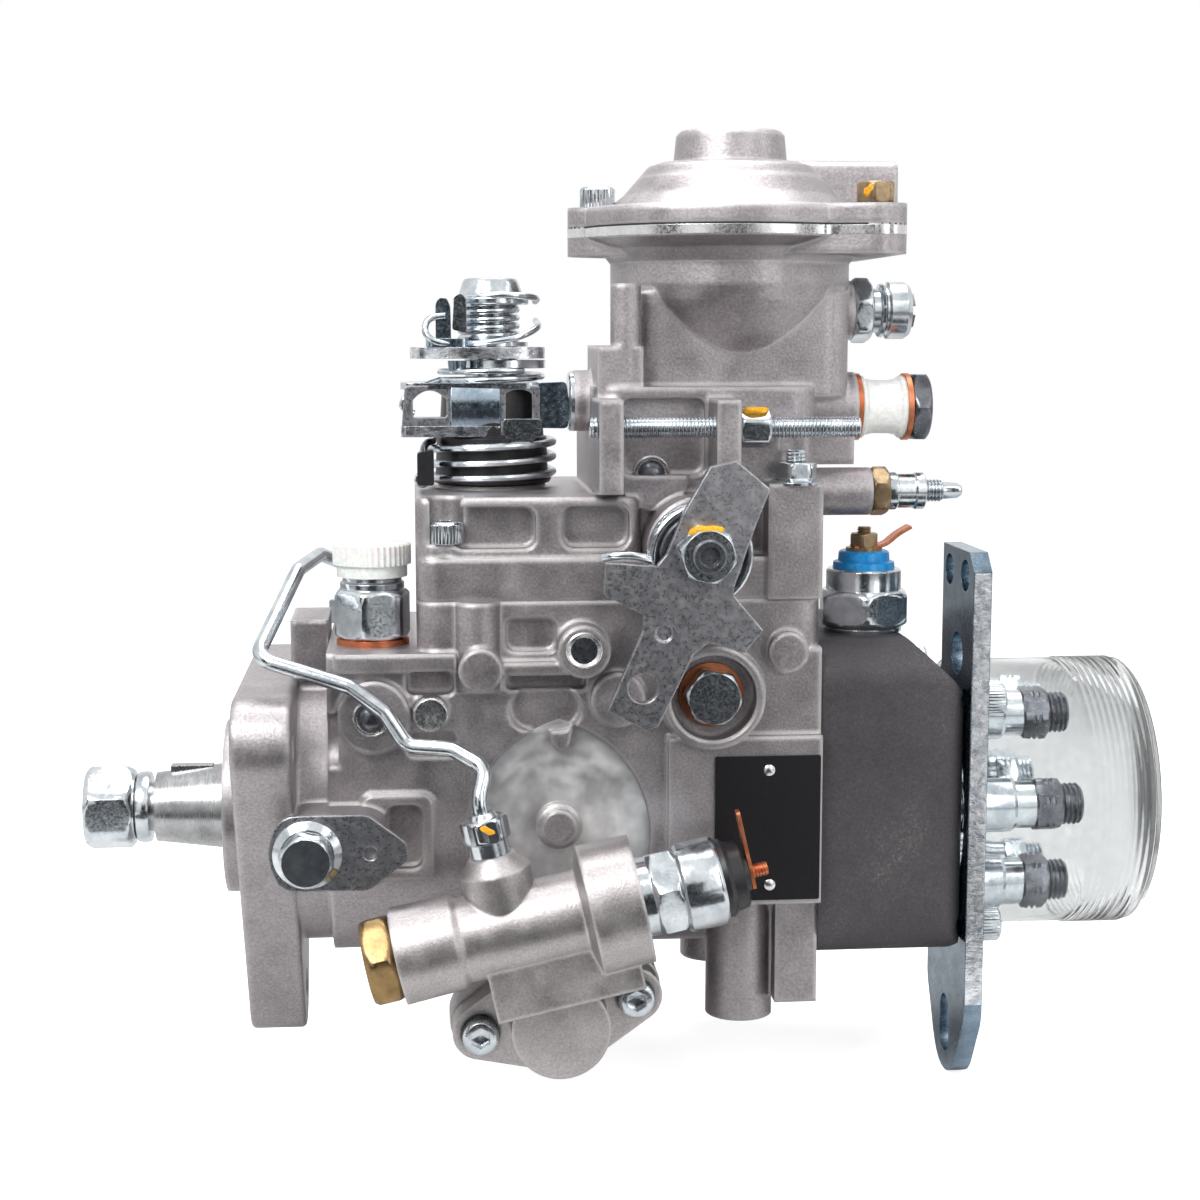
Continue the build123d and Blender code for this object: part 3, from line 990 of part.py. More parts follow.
def make_shaft_lock():
    """Tab plate with its flanged bolt, which locks the shaft for transport."""
    y0 = -58 - 1.8
    points = [(19, 10.5), (37, 10.5), (46.5, 0), (37, -10.5), (19, -10.5)]
    plate = slab_xz(points, y0, -58) + plate_xz([(LOCK_X, LOCK_Z, 10.5)], y0, -58)
    plate -= cyl_y(4.05, y0 - 1, -57, LOCK_X, LOCK_Z) + cyl_y(1.8, y0 - 1, -57, 37, LOCK_Z)
    bolt = cyl_y(4, y0 - 3, -41, LOCK_X, LOCK_Z) + hex_y(13, y0 - 10, y0 - 2.4, LOCK_X, LOCK_Z)
    bolt += cyl_y(9.2, y0 - 2.4, y0, LOCK_X, LOCK_Z)
    return [plate, bolt]


# Cold start advance cover on the near side of the timing piston


def on_barrel(piece):
    """Place a piece made along +X onto the sloping barrel line."""
    return Pos(BARREL_X0, BARREL_Y, BARREL_Z0) * Rot(0, -TIMING_TILT, 0) * piece


def make_cold_start_cover():
    pads = [(x, z, 7.5) for x, z in timing_screw_places()]
    cover = plate_xz(pads + [(TIMING_X, TIMING_Z, 16)], COVER_NEAR_Y - 10, COVER_NEAR_Y)
    cover += cyl_y(13.2, -70, COVER_NEAR_Y, TIMING_X, TIMING_Z)
    barrel = turned_x([(0, 0), (0, 13), (16, 12.6), (18, 11.5), (50, 11.5), (52, 17.5), (66, 17.2), (66, 0)])
    cover += on_barrel(barrel)
    neck = block(22, 62, -8, 20, -22, 0) & block(22, 62, -8, -BARREL_Y + COVER_NEAR_Y, -30, 0)
    cover += on_barrel(neck)
    branch = turned_z([(0, 0), (9.5, 0), (9.5, 17), (6, 21), (0, 21)], 0, 0)
    cover += on_barrel(Pos(30, 0, 0) * branch)
    cover -= on_barrel(cyl_x(6.2, -1, 68)) + cyl_y(8, COVER_NEAR_Y - 9, COVER_NEAR_Y + 1, TIMING_X, TIMING_Z)
    cover -= on_barrel(cyl_z(3, 12, 22, 30, 0))
    for x, z in timing_screw_places():
        cover -= cyl_y(3, -100, COVER_NEAR_Y + 1, x, z) + cyl_y(5.4, -100, COVER_NEAR_Y - 9, x, z)
    return cover


def make_brass_plug():
    return on_barrel(hex_x(22, -7.5, 0) + cyl_x(6.2, 0, 12))


def make_advance_solenoid():
    body = cyl_x(6.2, 50, 66) + cyl_x(10.5, 66, 69) + hex_x(20, 69, 77) + cyl_x(12, 77, 88)
    cap = turned_x([(88, 0), (88, 11), (93, 9), (95, 9), (95, 0)]) + cyl_x(2.2, 95, 101)
    return [on_barrel(body), on_barrel(cap)]


def pipe_route():
    """The fuel pipe from the branch of the cold start cover to behind the lug on top of the neck."""
    spot = Pos(BARREL_X0, BARREL_Y, BARREL_Z0) * Rot(0, -TIMING_TILT, 0)
    start = (spot * Pos(30, 0, 26)).position
    second = (spot * Pos(30, 0, 36)).position
    return [start, second, (67.2, -61, 22.5), (58.5, -57, 27), (46.5, -54, 27.5), (40.5, -52, 36.5), (31.5, -50, 43),
            (6.5, -46, 50.5), (16.5, -14, 70.5), (22, 3, 73), FAR_UNION + Vector(0, 0, 12), FAR_UNION]


def make_fuel_pipe():
    points = pipe_route()
    path = FilletPolyline(*points, radius=5.0)
    tube = sweep(Plane(path @ 0, z_dir=path % 0) * Circle(PIPE_R), path)
    nut = on_barrel(Pos(30, 0, 0) * (cyl_z(5.2, 21.0, 25, 0, 0) + hex_z(11, 25, 31, 0, 0) + cyl_z(3, 13, 21, 0, 0)))
    far_nut = hex_z(11, LEDGE_Z, LEDGE_Z + 7, FAR_UNION.X, FAR_UNION.Y)
    far_nut -= cyl_z(PIPE_R, 0, 90, FAR_UNION.X, FAR_UNION.Y)
    return [tube, nut - tube, far_nut]


def make_timing_spring_cover():
    y1 = TIMING_HALF_L
    pads = [(x, z, 7.5) for x, z in timing_screw_places()]
    cover = plate_xz(pads + [(TIMING_X, TIMING_Z, 15)], y1, y1 + 6) + cyl_y(13, y1 + 5, y1 + 11, TIMING_X, TIMING_Z)
    for x, z in timing_screw_places():
        cover -= cyl_y(3, y1 - 1, y1 + 12, x, z)
    return cover


def make_cap_screws():
    solids = []
    for x, z in timing_screw_places():
        solids.append(cap_screw_y(x, z, COVER_NEAR_Y - 15, 17))
        far = cap_screw_y(x, -z, -TIMING_HALF_L - 12, 14)
        solids.append(Rot(180, 0, 0) * far)
    for x, y in cover_screw_places():
        top = COVER_SKIRT_Z + 10 if x < BOWL_X - 40 else REAR_SCREW_Z + 6
        solids.append(cap_screw_z(x, y, top, top - 6 - JOINT_Z + 8))
    for x, y in LID_SCREWS:
        solids.append(cap_screw_z(x, y, BOWL_Z1 + LID_FLANGE_T + 6, 14))
    for y, z in head_screw_places():
        x1 = BRACKET_X1 if y < 0 else HEAD_X1
        screw = cap_screw_z(0, 0, x1 + 6, x1 - BODY_X1 + 8)
        solids.append(Pos(0, y, z) * Rot(0, 90, 0) * screw)
    return solids


# Write one file for each node

def save(name, shapes):
    """Write one node: a shape, or a list of shapes that share it."""
    group = shapes if isinstance(shapes, list) else [shapes]
    solids = [solid for shape in group for solid in shape.solids()]
    export_step(Compound(solids), "parts/" + name + ".step")


def main():
    shaft, key = make_drive_shaft()
    save("drive_shaft", [shaft, key])
    save("shaft_nut", make_shaft_nut())
    save("feed_pump_rotor", make_feed_rotor())
    save("governor_drive_gear", make_drive_gear())
    save("cam_plate", make_cam_plate())
    save("plunger", make_plunger())
    save("governor_cage", make_governor_cage())
    for n in range(FLYWEIGHTS):
        save("flyweight_" + str(n + 1), make_flyweight(n))
    save("governor_sleeve", make_governor_sleeve())
    save("governor_lever", make_governor_lever())
    save("control_sleeve", make_control_sleeve())
    save("governor_pins", make_governor_pins())
    save("roller_ring", make_roller_ring())
    save("timing_piston", make_timing_piston())
    save("pump_housing", make_housing())
    save("shaft_bush", make_shaft_bush())
    save("shaft_seal", make_shaft_seal())
    save("feed_pump_cam_ring", make_feed_cam_ring())
    save("feed_pump_cover_plate", make_feed_cover_plate())
    save("distributor_head", make_head())
    for n, place in enumerate(outlet_places()):
        save("delivery_valve_" + str(n + 1), make_delivery_valve(*place))
    save("head_centre_plug", make_centre_plug())
    save("shutoff_solenoid", make_solenoid())
    save("shutoff_terminal", make_solenoid_terminal())
    save("shutoff_armature", make_armature())
    save("rear_bracket", make_rear_bracket())
    save("outlet_cap", make_outlet_cap())
    save("governor_cover", make_governor_cover())
    save("boost_lid", make_boost_lid())
    save("boost_pin", make_boost_pin())
    save("return_springs", make_return_springs())
    save("throttle_shaft", make_throttle_shaft())
    save("governor_spring", make_governor_spring())
    save("throttle_lever", make_throttle_lever())
    save("throttle_spring", make_throttle_spring())
    save("stop_lever", make_stop_lever())
    save("inlet_fitting", make_inlet_fitting())
    save("inlet_cap", make_inlet_cap())
    save("copper_washers", make_copper_washers())
    save("overflow_sleeve", make_overflow_sleeve())
    save("overflow_bolt", make_overflow_bolt())
    save("full_load_screw", make_full_load_screw())
    save("max_speed_screw", make_max_speed_screw())
    save("vent_fitting", make_vent_fitting())
    save("side_plug", make_side_plug())
    save("shaft_lock", make_shaft_lock())
    save("cold_start_cover", make_cold_start_cover())
    save("brass_plug", make_brass_plug())
    save("advance_solenoid", make_advance_solenoid())
    save("fuel_pipe", make_fuel_pipe())
    save("timing_spring_cover", make_timing_spring_cover())
    save("cap_screws", make_cap_screws())


main()
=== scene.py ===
from math import cos, pi, radians, sin

import bmesh
import bpy
import numpy as np
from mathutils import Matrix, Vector


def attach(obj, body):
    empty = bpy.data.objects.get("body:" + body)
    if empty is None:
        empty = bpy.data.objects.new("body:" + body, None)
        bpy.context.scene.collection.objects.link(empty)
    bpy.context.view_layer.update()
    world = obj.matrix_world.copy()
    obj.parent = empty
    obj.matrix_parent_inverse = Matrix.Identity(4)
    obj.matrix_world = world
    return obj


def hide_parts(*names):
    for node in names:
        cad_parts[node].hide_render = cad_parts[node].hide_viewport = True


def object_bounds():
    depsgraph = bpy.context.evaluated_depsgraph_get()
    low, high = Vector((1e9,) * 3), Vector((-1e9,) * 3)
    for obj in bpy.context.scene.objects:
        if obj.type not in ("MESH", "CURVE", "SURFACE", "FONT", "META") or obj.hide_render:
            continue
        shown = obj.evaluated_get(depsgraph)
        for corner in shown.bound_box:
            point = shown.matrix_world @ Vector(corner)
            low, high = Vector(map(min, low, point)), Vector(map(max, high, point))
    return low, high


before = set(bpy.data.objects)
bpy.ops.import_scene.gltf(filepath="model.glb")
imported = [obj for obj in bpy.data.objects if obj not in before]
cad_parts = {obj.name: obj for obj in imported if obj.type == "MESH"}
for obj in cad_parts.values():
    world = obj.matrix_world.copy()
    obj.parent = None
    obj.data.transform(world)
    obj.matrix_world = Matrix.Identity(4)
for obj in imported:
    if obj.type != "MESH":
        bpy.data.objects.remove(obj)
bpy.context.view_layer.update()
MM = 0.001

# Lines and places of the pump in millimetres, in its model's frame: X along the shaft, Z up, levers at -Y
DRIVE_NUT_FLATS, DRIVE_NUT_X0, DRIVE_NUT_X1 = 22.0, -46.0, -32.4
SHAFT_THREAD_R = 7.0
THROTTLE_X = 71.7
STOP_DISC_Y, STOP_DISC_Z = -9.5, 117.4
STOP_X, STOP_Z = 125.5, 79.0
STOP_SPRING_X, STOP_SPRING_Z = 124.9, 78.0
INLET_X, INLET_Y, INLET_Z0 = 37.3, -22.0, 52.2
SOLENOID_X, SOLENOID_Y = 178.0, -15.0
SPEED_SCREW_Y, SPEED_SCREW_Z = -46.0, 111.5
OVERFLOW_Y, OVERFLOW_Z = -10.0, 115.5
FULL_LOAD_Y, FULL_LOAD_Z = -20.0, 92.0
VENT_Z = 143.0
LOCK_X = 20.0
SIDE_PLUG_X, SIDE_PLUG_Z = 130.0, 38.0
BALL_PLUGS = ((37.1, -45.0, 33.5), (114.5, -31.0, 98.0))
TURNED_PLUG_X, TURNED_PLUG_Z = 53.0, 34.6
SIDE_HOLE_X, SIDE_HOLE_Z = 94.3, 51.9
MILL_XS, MILL_Z, MILL_R, MILL_FOOT_Z = (97.6, 78.8), -2.0, 34.6, -19.8
PLATE_LEFT, PLATE_RIGHT, PLATE_LOW, PLATE_TOP = 130.8, 160.2, -19.6, 21.2
PLATE_RIVETS = ((145.8, 17.2), (146.2, -15.2))
BARREL = (43.5, -66.0, -26.5)
BARREL_TILT = radians(12.4)
UNION_ALONG = 30.0
OUTLET_RING_R, OUTLET_TURN, DARK_OUTLETS = 28.5, 4.0, (0, 1, 5)
CUP_RINGS, CUP_RING_STEP = (241.0, 258.0), 1.9
BOWL_X, LID_R, LID_Z = 140.5, 44.0, 166.0
LID_SCREWS = ((102.0, -4.0), (175.5, -34.0), (175.5, 30.0))
LID_SEAT_Z, LID_LUG_R = 171.5, 8.5
IDLE_X, IDLE_Y = 153.8, -37.5
COVER_SCREWS = ((57.5, -37.5, 80.0), (57.5, 37.5, 80.0), (153.8, 37.5, 96.0))
COLD_SCREWS = ((65.4, -51.7), (107.6, -42.5))
COLD_FRONT_Y, COLD_BACK_Y = -55.0, 52.0
HEAD_SCREWS = ((208.4, -35.0, -31.0), (208.4, -35.0, 34.0), (203.2, 35.0, -31.0), (203.2, 35.0, 34.0))
SCREW_HEAD_R, SCREW_HEAD_HIGH, SOCKET_FLATS = 5.0, 6.0, 5.0
KNURLS, KNURL_DEPTH = 36, 0.22

# A smooth noise keeps mostly between these two values, so a ramp between them uses its whole range
NOISE_LOW, NOISE_HIGH = 0.3, 0.7
# Corner of a hexagon before its cone, and the foot of that cone, as parts of half its width across flats
HEX_CORNER, HEX_FOOT = 1.16, 0.97


# Colours and nodes

def rgba(code):
    """sRGB hex to linear: c / 12.92 below 0.04045, else ((c + 0.055) / 1.055) to the power 2.4."""
    parts = [int(code[i:i + 2], 16) / 255 for i in (1, 3, 5)]
    return tuple(c / 12.92 if c <= 0.04045 else ((c + 0.055) / 1.055) ** 2.4 for c in parts) + (1.0,)


def add_node(tree, kind, settings=None, links=None):
    """Add one node: settings are properties, socket values or ramp stops, links map a socket to an
    output."""
    node = tree.nodes.new(kind)
    for key, value in (settings or {}).items():
        if key == "stops":
            for n, (place, tone) in enumerate(value):
                stop = node.color_ramp.elements[n] if n < 2 else node.color_ramp.elements.new(place)
                stop.position, stop.color = place, rgba(tone)
        elif isinstance(key, str) and hasattr(node, key):
            setattr(node, key, value)
        else:
            node.inputs[key].default_value = value
    for key, source in (links or {}).items():
        tree.links.new(source, node.inputs[key])
    return node


def new_material(name, values):
    """A material with one Principled shader, its constant values set on the shader's own sockets."""
    material = bpy.data.materials.new(name)
    material.use_nodes = True
    shader = material.node_tree.nodes["Principled BSDF"]
    for key, value in values.items():
        shader.inputs[key].default_value = value
    return material, material.node_tree, shader


# Finishes

PATCH_MM = 10.0


def sand_cast(name, tones, edge_wear_and_highlight, rough, grit_mm, rounding_mm):
    """Sand-cast aluminium. The mould's sand is about half a millimetre and drawn a little coarser, grit_mm,
    so that it shows, with cloudy patches PATCH_MM across. A rounding of rounding_mm tells the edges: where
    it turns the face away from its true direction, the colour goes towards edge_wear_and_highlight, a
    painted highlight on the edges that partly stands for wear."""
    material, tree, shader = new_material(name, {"Metallic": 0.9})
    place = add_node(tree, "ShaderNodeTexCoord").outputs["Object"]
    sand = add_node(tree, "ShaderNodeTexNoise", {"Scale": 1000 / grit_mm, "Detail": 3.0, "Roughness": 0.6},
                    {"Vector": place})
    cloud = add_node(tree, "ShaderNodeTexNoise", {"Scale": 1000 / PATCH_MM, "Detail": 3.0,
                                                  "Roughness": 0.55}, {"Vector": place})
    mixed = add_node(tree, "ShaderNodeMath", {"operation": "MULTIPLY_ADD", 1: 0.62},
                     {0: sand.outputs["Fac"]})
    part = add_node(tree, "ShaderNodeMath", {"operation": "MULTIPLY", 1: 0.38}, {0: cloud.outputs["Fac"]})
    tree.links.new(part.outputs[0], mixed.inputs[2])
    tone = add_node(tree, "ShaderNodeValToRGB", {"stops": tones}, {"Fac": mixed.outputs[0]})
    soft = add_node(tree, "ShaderNodeBevel", {"samples": 4, "Radius": rounding_mm * MM})
    true = add_node(tree, "ShaderNodeNewGeometry")
    turn = add_node(tree, "ShaderNodeVectorMath", {"operation": "DOT_PRODUCT"},
                    {0: soft.outputs["Normal"], 1: true.outputs["Normal"]})
    # edge: how far the rounding turns the face; the colour goes that far towards a painted highlight, partly
    # wear
    edge = add_node(tree, "ShaderNodeMapRange", {"From Min": 0.99, "From Max": 0.8, "To Min": 0.0,
                                                 "To Max": 0.75}, {"Value": turn.outputs["Value"]})
    colour = add_node(tree, "ShaderNodeMixRGB", {2: rgba(edge_wear_and_highlight)},
                      {0: edge.outputs[0], 1: tone.outputs["Color"]})
    tree.links.new(colour.outputs[0], shader.inputs["Base Color"])
    dull = add_node(tree, "ShaderNodeMapRange", {"From Min": NOISE_LOW, "From Max": NOISE_HIGH,
                                                 "To Min": rough - 0.07, "To Max": rough + 0.08},
                    {"Value": cloud.outputs["Fac"]})
    tree.links.new(dull.outputs[0], shader.inputs["Roughness"])
    bump = add_node(tree, "ShaderNodeBump", {"Distance": 0.07 * MM, "Strength": 1.0},
                    {"Height": sand.outputs["Fac"], "Normal": soft.outputs["Normal"]})
    tree.links.new(bump.outputs["Normal"], shader.inputs["Normal"])
    return material


def bright_metal(name, tones, rough, grain_mm=0.8, depth_mm=0.012, cloud_mm=7.0, stretch=(1, 1, 1),
                 rounding_mm=0.25):
    """Plated, drawn or turned metal: clouds in the plating cloud_mm across and marks grain_mm wide that
    spread its highlights, pulled out along an axis where stretch is below 1."""
    material, tree, shader = new_material(name, {"Metallic": 1.0})
    place = add_node(tree, "ShaderNodeTexCoord").outputs["Object"]
    pulled = add_node(tree, "ShaderNodeMapping", {"Scale": stretch}, {"Vector": place})
    cloud = add_node(tree, "ShaderNodeTexNoise", {"Scale": 1000 / cloud_mm, "Detail": 4.0, "Roughness": 0.6},
                     {"Vector": place})
    marks = add_node(tree, "ShaderNodeTexNoise", {"Scale": 1000 / grain_mm, "Detail": 2.0, "Roughness": 0.7},
                     {"Vector": pulled.outputs["Vector"]})
    tone = add_node(tree, "ShaderNodeValToRGB", {"stops": tones}, {"Fac": cloud.outputs["Fac"]})
    tree.links.new(tone.outputs["Color"], shader.inputs["Base Color"])
    dull = add_node(tree, "ShaderNodeMapRange", {"From Min": NOISE_LOW, "From Max": NOISE_HIGH,
                                                 "To Min": rough - 0.06, "To Max": rough + 0.1},
                    {"Value": marks.outputs["Fac"]})
    tree.links.new(dull.outputs[0], shader.inputs["Roughness"])
    soft = add_node(tree, "ShaderNodeBevel", {"samples": 4, "Radius": rounding_mm * MM})
    bump = add_node(tree, "ShaderNodeBump", {"Distance": depth_mm * MM, "Strength": 1.0},
                    {"Height": marks.outputs["Fac"], "Normal": soft.outputs["Normal"]})
    tree.links.new(bump.outputs["Normal"], shader.inputs["Normal"])
    return material


def moulded(name, tones, values, skin_mm=1.2, depth_mm=0.02):
    """Moulded plastic, rubber or paint: near to one colour, with a faint skin that breaks its highlight."""
    material, tree, shader = new_material(name, values)
    place = add_node(tree, "ShaderNodeTexCoord").outputs["Object"]
    skin = add_node(tree, "ShaderNodeTexNoise", {"Scale": 1000 / skin_mm, "Detail": 2.0}, {"Vector": place})
    tone = add_node(tree, "ShaderNodeValToRGB", {"stops": tones}, {"Fac": skin.outputs["Fac"]})
    tree.links.new(tone.outputs["Color"], shader.inputs["Base Color"])
    soft = add_node(tree, "ShaderNodeBevel", {"samples": 4, "Radius": 0.2 * MM})
    bump = add_node(tree, "ShaderNodeBump", {"Distance": depth_mm * MM, "Strength": 1.0},
                    {"Height": skin.outputs["Fac"], "Normal": soft.outputs["Normal"]})
    tree.links.new(bump.outputs["Normal"], shader.inputs["Normal"])
    return material


def milled_aluminium(ring_mm=2.856, cloud_mm=11.11):
    """Face-milled aluminium: the cutter leaves arcs about the middle of each pass. They are drawn ring_mm
    apart, wider than the real ones so that they show: Blender's rings lie pi / 10 / Scale metres apart."""
    material, tree, shader = new_material("face_milled_aluminium", {"Metallic": 1.0})
    place = add_node(tree, "ShaderNodeTexCoord").outputs["Object"]
    heights = []
    for x in MILL_XS:
        about = add_node(tree, "ShaderNodeMapping", {"Location": (-x * MM, 0, -MILL_Z * MM)},
                         {"Vector": place})
        arcs = add_node(tree, "ShaderNodeTexWave", {"wave_type": "RINGS", "rings_direction": "SPHERICAL",
                                                    "Scale": 100 * pi / ring_mm, "Distortion": 3.0,
                                                    "Detail": 2.0, "Detail Scale": 1.5},
                        {"Vector": about.outputs["Vector"]})
        heights.append(arcs.outputs["Fac"])
    both = add_node(tree, "ShaderNodeMath", {"operation": "MAXIMUM"}, {0: heights[0], 1: heights[1]})
    cloud = add_node(tree, "ShaderNodeTexNoise", {"Scale": 1000 / cloud_mm, "Detail": 3.0},
                     {"Vector": place})
    tone = add_node(tree, "ShaderNodeValToRGB", {"stops": [(0.35, "#B7B7B8"), (0.65, "#F2F2F2")]},
                    {"Fac": cloud.outputs["Fac"]})
    tree.links.new(tone.outputs["Color"], shader.inputs["Base Color"])
    dull = add_node(tree, "ShaderNodeMapRange", {"To Min": 0.42, "To Max": 0.52}, {"Value": both.outputs[0]})
    tree.links.new(dull.outputs[0], shader.inputs["Roughness"])
    bump = add_node(tree, "ShaderNodeBump", {"Distance": 0.002 * MM, "Strength": 1.0},
                    {"Height": both.outputs[0]})
    tree.links.new(bump.outputs["Normal"], shader.inputs["Normal"])
    return material


def phosphated_block(crystal_mm=0.7143, cloud_mm=16.67):
    """Phosphated steel: near-black crystals crystal_mm across, drawn coarser than they are so that they
    show, with light specks between them and clouds of cloud_mm."""
    material, tree, shader = new_material("phosphated_steel_block", {"Metallic": 0.3, "Roughness": 0.58})
    place = add_node(tree, "ShaderNodeTexCoord").outputs["Object"]
    fine = add_node(tree, "ShaderNodeTexNoise", {"Scale": 1000 / crystal_mm, "Detail": 4.0,
                                                 "Roughness": 0.8}, {"Vector": place})
    cloud = add_node(tree, "ShaderNodeTexNoise", {"Scale": 1000 / cloud_mm, "Detail": 2.0},
                     {"Vector": place})
    part = add_node(tree, "ShaderNodeMath", {"operation": "MULTIPLY", 1: 0.3}, {0: cloud.outputs["Fac"]})
    mixed = add_node(tree, "ShaderNodeMath", {"operation": "MULTIPLY_ADD", 1: 0.7},
                     {0: fine.outputs["Fac"], 2: part.outputs[0]})
    stops = [(0.36, "#3B383A"), (0.56, "#4B484B"), (0.66, "#5D595A"), (0.72, "#9C9896")]
    tone = add_node(tree, "ShaderNodeValToRGB", {"stops": stops}, {"Fac": mixed.outputs[0]})
    tree.links.new(tone.outputs["Color"], shader.inputs["Base Color"])
    soft = add_node(tree, "ShaderNodeBevel", {"samples": 4, "Radius": 1.5 * MM})
    bump = add_node(tree, "ShaderNodeBump", {"Distance": 0.05 * MM, "Strength": 1.0},
                    {"Height": fine.outputs["Fac"], "Normal": soft.outputs["Normal"]})
    tree.links.new(bump.outputs["Normal"], shader.inputs["Normal"])
    return material


MATERIALS = {
    # the mould's sand gives it a light warm grey grain; its near-white edge colour is a painted highlight,
    # partly wear
    "cast": sand_cast("sand_cast_aluminium", [(0.36, "#938E90"), (0.5, "#A49FA1"), (0.64, "#B6B1B2")],
                      "#ECEAE8", 0.42, 0.75, 2.2),
    # finer mould and blasting, so it is smoother and a little lighter; its near-white edge colour is a
    # painted highlight, partly wear
    "cast_smooth": sand_cast("blasted_cast_aluminium",
                             [(0.36, "#A09B9B"), (0.5, "#B0ABAB"), (0.64, "#C0BCBB")],
                             "#EEECEA", 0.38, 0.6, 1.6),
    # cutter marks leave it bright and even
    "turned_aluminium": bright_metal("turned_aluminium", [(0.3, "#C4C4C4"), (0.7, "#E6E6E5")], 0.24),
    "milled": milled_aluminium(),
    # thin clear zinc: cold and bright
    "zinc": bright_metal("bright_zinc_steel", [(0.3, "#AEB6BC"), (0.7, "#DDE2E5")], 0.17),
    # passivated zinc on pressed steel, which turns a cold blue where it faces the dark
    "zinc_blue": bright_metal("blue_passivated_zinc", [(0.3, "#7F93A3"), (0.7, "#B8C6D0")], 0.2, 1.2, 0.02),
    # pressed sheet with passivated zinc: mottled and duller
    "zinc_sheet": bright_metal("mottled_zinc_sheet", [(0.35, "#A8A8AD"), (0.65, "#C9C9CD")], 0.3, 0.8, 0.014,
                               3.0, rounding_mm=0.7),
    # a sheared edge tears into streaks across the sheet, about 1 mm apart
    "sheared": bright_metal("sheared_zinc_edge", [(0.35, "#B0B6BE"), (0.6, "#ECEEF1")], 0.24, 1.6, 0.12, 2.4,
                            (0.5, 1, 1)),
    # blue passivated zinc on thick plate, in even clouds; its blue is made deeper than zinc_blue's as a
    # painted dark reflection
    "bracket_blue": bright_metal("blue_zinc_plate_with_painted_dark_reflection", [(0.3, "#5E6F7E"), (0.7, "#8FA2B1")], 0.2, 1.2,
                                 0.008, 9.0),
    # turning marks run round the shaft: fine along it and ten times longer across it
    "steel": bright_metal("machined_steel", [(0.3, "#8E8F90"), (0.7, "#B9BABB")], 0.26, 0.6, 0.02, 7.0,
                          (1, 0.1, 0.1)),
    # thin dark phosphate over a cold-headed hexagon, even and half bright
    "dark_steel": bright_metal("phosphated_hexagons", [(0.3, "#55575C"), (0.7, "#85878D")], 0.3),
    # soft annealed washers and strips, with wide dull highlights
    "copper": bright_metal("soft_copper", [(0.3, "#B56544"), (0.7, "#D88E69")], 0.36),
    # turned brass gone a little brown, and yellow passivated zinc that looks near to it
    "brass": bright_metal("turned_brass", [(0.3, "#7D6646"), (0.7, "#A58B62")], 0.33),
    "brassy": bright_metal("yellow_zinc_steel", [(0.3, "#7E6B55"), (0.7, "#B29C7C")], 0.34),
    # moulded nylon: a dull black with a soft highlight
    "black_plastic": moulded("black_moulded_nylon", [(0.3, "#141416"), (0.7, "#202024")],
                             {"Roughness": 0.38}),
    # rubber throws back little light and spreads it wide
    "rubber": moulded("nitrile_rubber", [(0.3, "#171717"), (0.7, "#222121")], {"Roughness": 0.6}),
    # the insulator is glossier, from a polished mould
    "blue_plastic": moulded("blue_moulded_insulator", [(0.3, "#0E82C6"), (0.7, "#2498DA")],
                            {"Roughness": 0.28}),
    # polyethylene lets light in below its skin, so ribs and rims glow
    "white_plastic": moulded("white_polyethylene", [(0.3, "#DCDCDA"), (0.7, "#EFEFEC")],
                             {"Roughness": 0.42, "Subsurface Weight": 0.3, "Subsurface Scale": 0.003}),
    # its thin clear wall hardly bends what is seen through it, so its index is below that of a thick one
    "clear": moulded("clear_polyethylene", [(0.3, "#F4F8F9"), (0.7, "#FFFFFF")],
                     {"Roughness": 0.08, "IOR": 1.22, "Transmission Weight": 1.0}, 3.0, 0.03),
    # brushed on by hand after setting: thick, dull and a little streaked
    "yellow_paint": moulded("yellow_marking_paint", [(0.35, "#D9950A"), (0.65, "#F2B71C")],
                            {"Roughness": 0.5}, 0.9, 0.08),
    # anodised sheet, even and near black
    "plate_black": moulded("black_anodised_plate", [(0.3, "#121214"), (0.7, "#1B1B1E")], {"Roughness": 0.3},
                           0.8, 0.008),
    # the distributor head is a forged block, coated as it was machined
    "head": phosphated_block(),
}


# Surfaces: every shape is an array of points in millimetres with faces of point numbers

def grid_faces(rows, columns, wrap_rows=False):
    """Four-sided faces over a grid of points, row by row, where each row is a closed ring."""
    a, b = np.meshgrid(np.arange(rows if wrap_rows else rows - 1), np.arange(columns), indexing="ij")
    up, right = (a + 1) % rows, (b + 1) % columns
    corners = [a * columns + b, up * columns + b, up * columns + right, a * columns + right]
    return np.stack(corners, -1).reshape(-1, 4).tolist()


def round_x(x, radius, a):
    """Points round +X: x, radius cos a, radius sin a."""
    return np.stack(np.broadcast_arrays(x, radius * np.cos(a), radius * np.sin(a)), -1)


def turned(profile, sides=48, flats=None, turn=0.0, closed=False, cuts=1, ribs=None):
    """Surface round +X from (x, r) points: y = r cos a, z = r sin a. With flats, the width across six flats,
    r is at most flats / 2 / cos(angle from the nearest flat), so a cone at its end cuts the corners in arcs.
    With ribs (count, depth, from), r dips by depth * (1 - cos(count * a)) / 2 wherever the profile is beyond
    from."""
    rows = np.asarray(profile, float)
    if closed:
        rows = np.vstack([rows, rows[:1]])
    s = np.linspace(0, len(rows) - 1, (len(rows) - 1) * cuts + 1)
    x, r = (np.interp(s, np.arange(len(rows)), rows[:, k]) for k in (0, 1))
    if closed:
        x, r = x[:-1], r[:-1]
    a = np.linspace(0, 2 * pi, sides, endpoint=False)
    radius = np.repeat(r[:, None], sides, 1)
    if flats:
        radius = np.minimum(radius, flats / 2 / np.cos((a - turn + pi / 6) % (pi / 3) - pi / 6))
    if ribs:
        radius = radius - (r[:, None] > ribs[2]) * ribs[1] * (1 - np.cos(ribs[0] * a)) / 2
    return round_x(x[:, None], radius, a).reshape(-1, 3), grid_faces(len(x), sides, wrap_rows=closed)


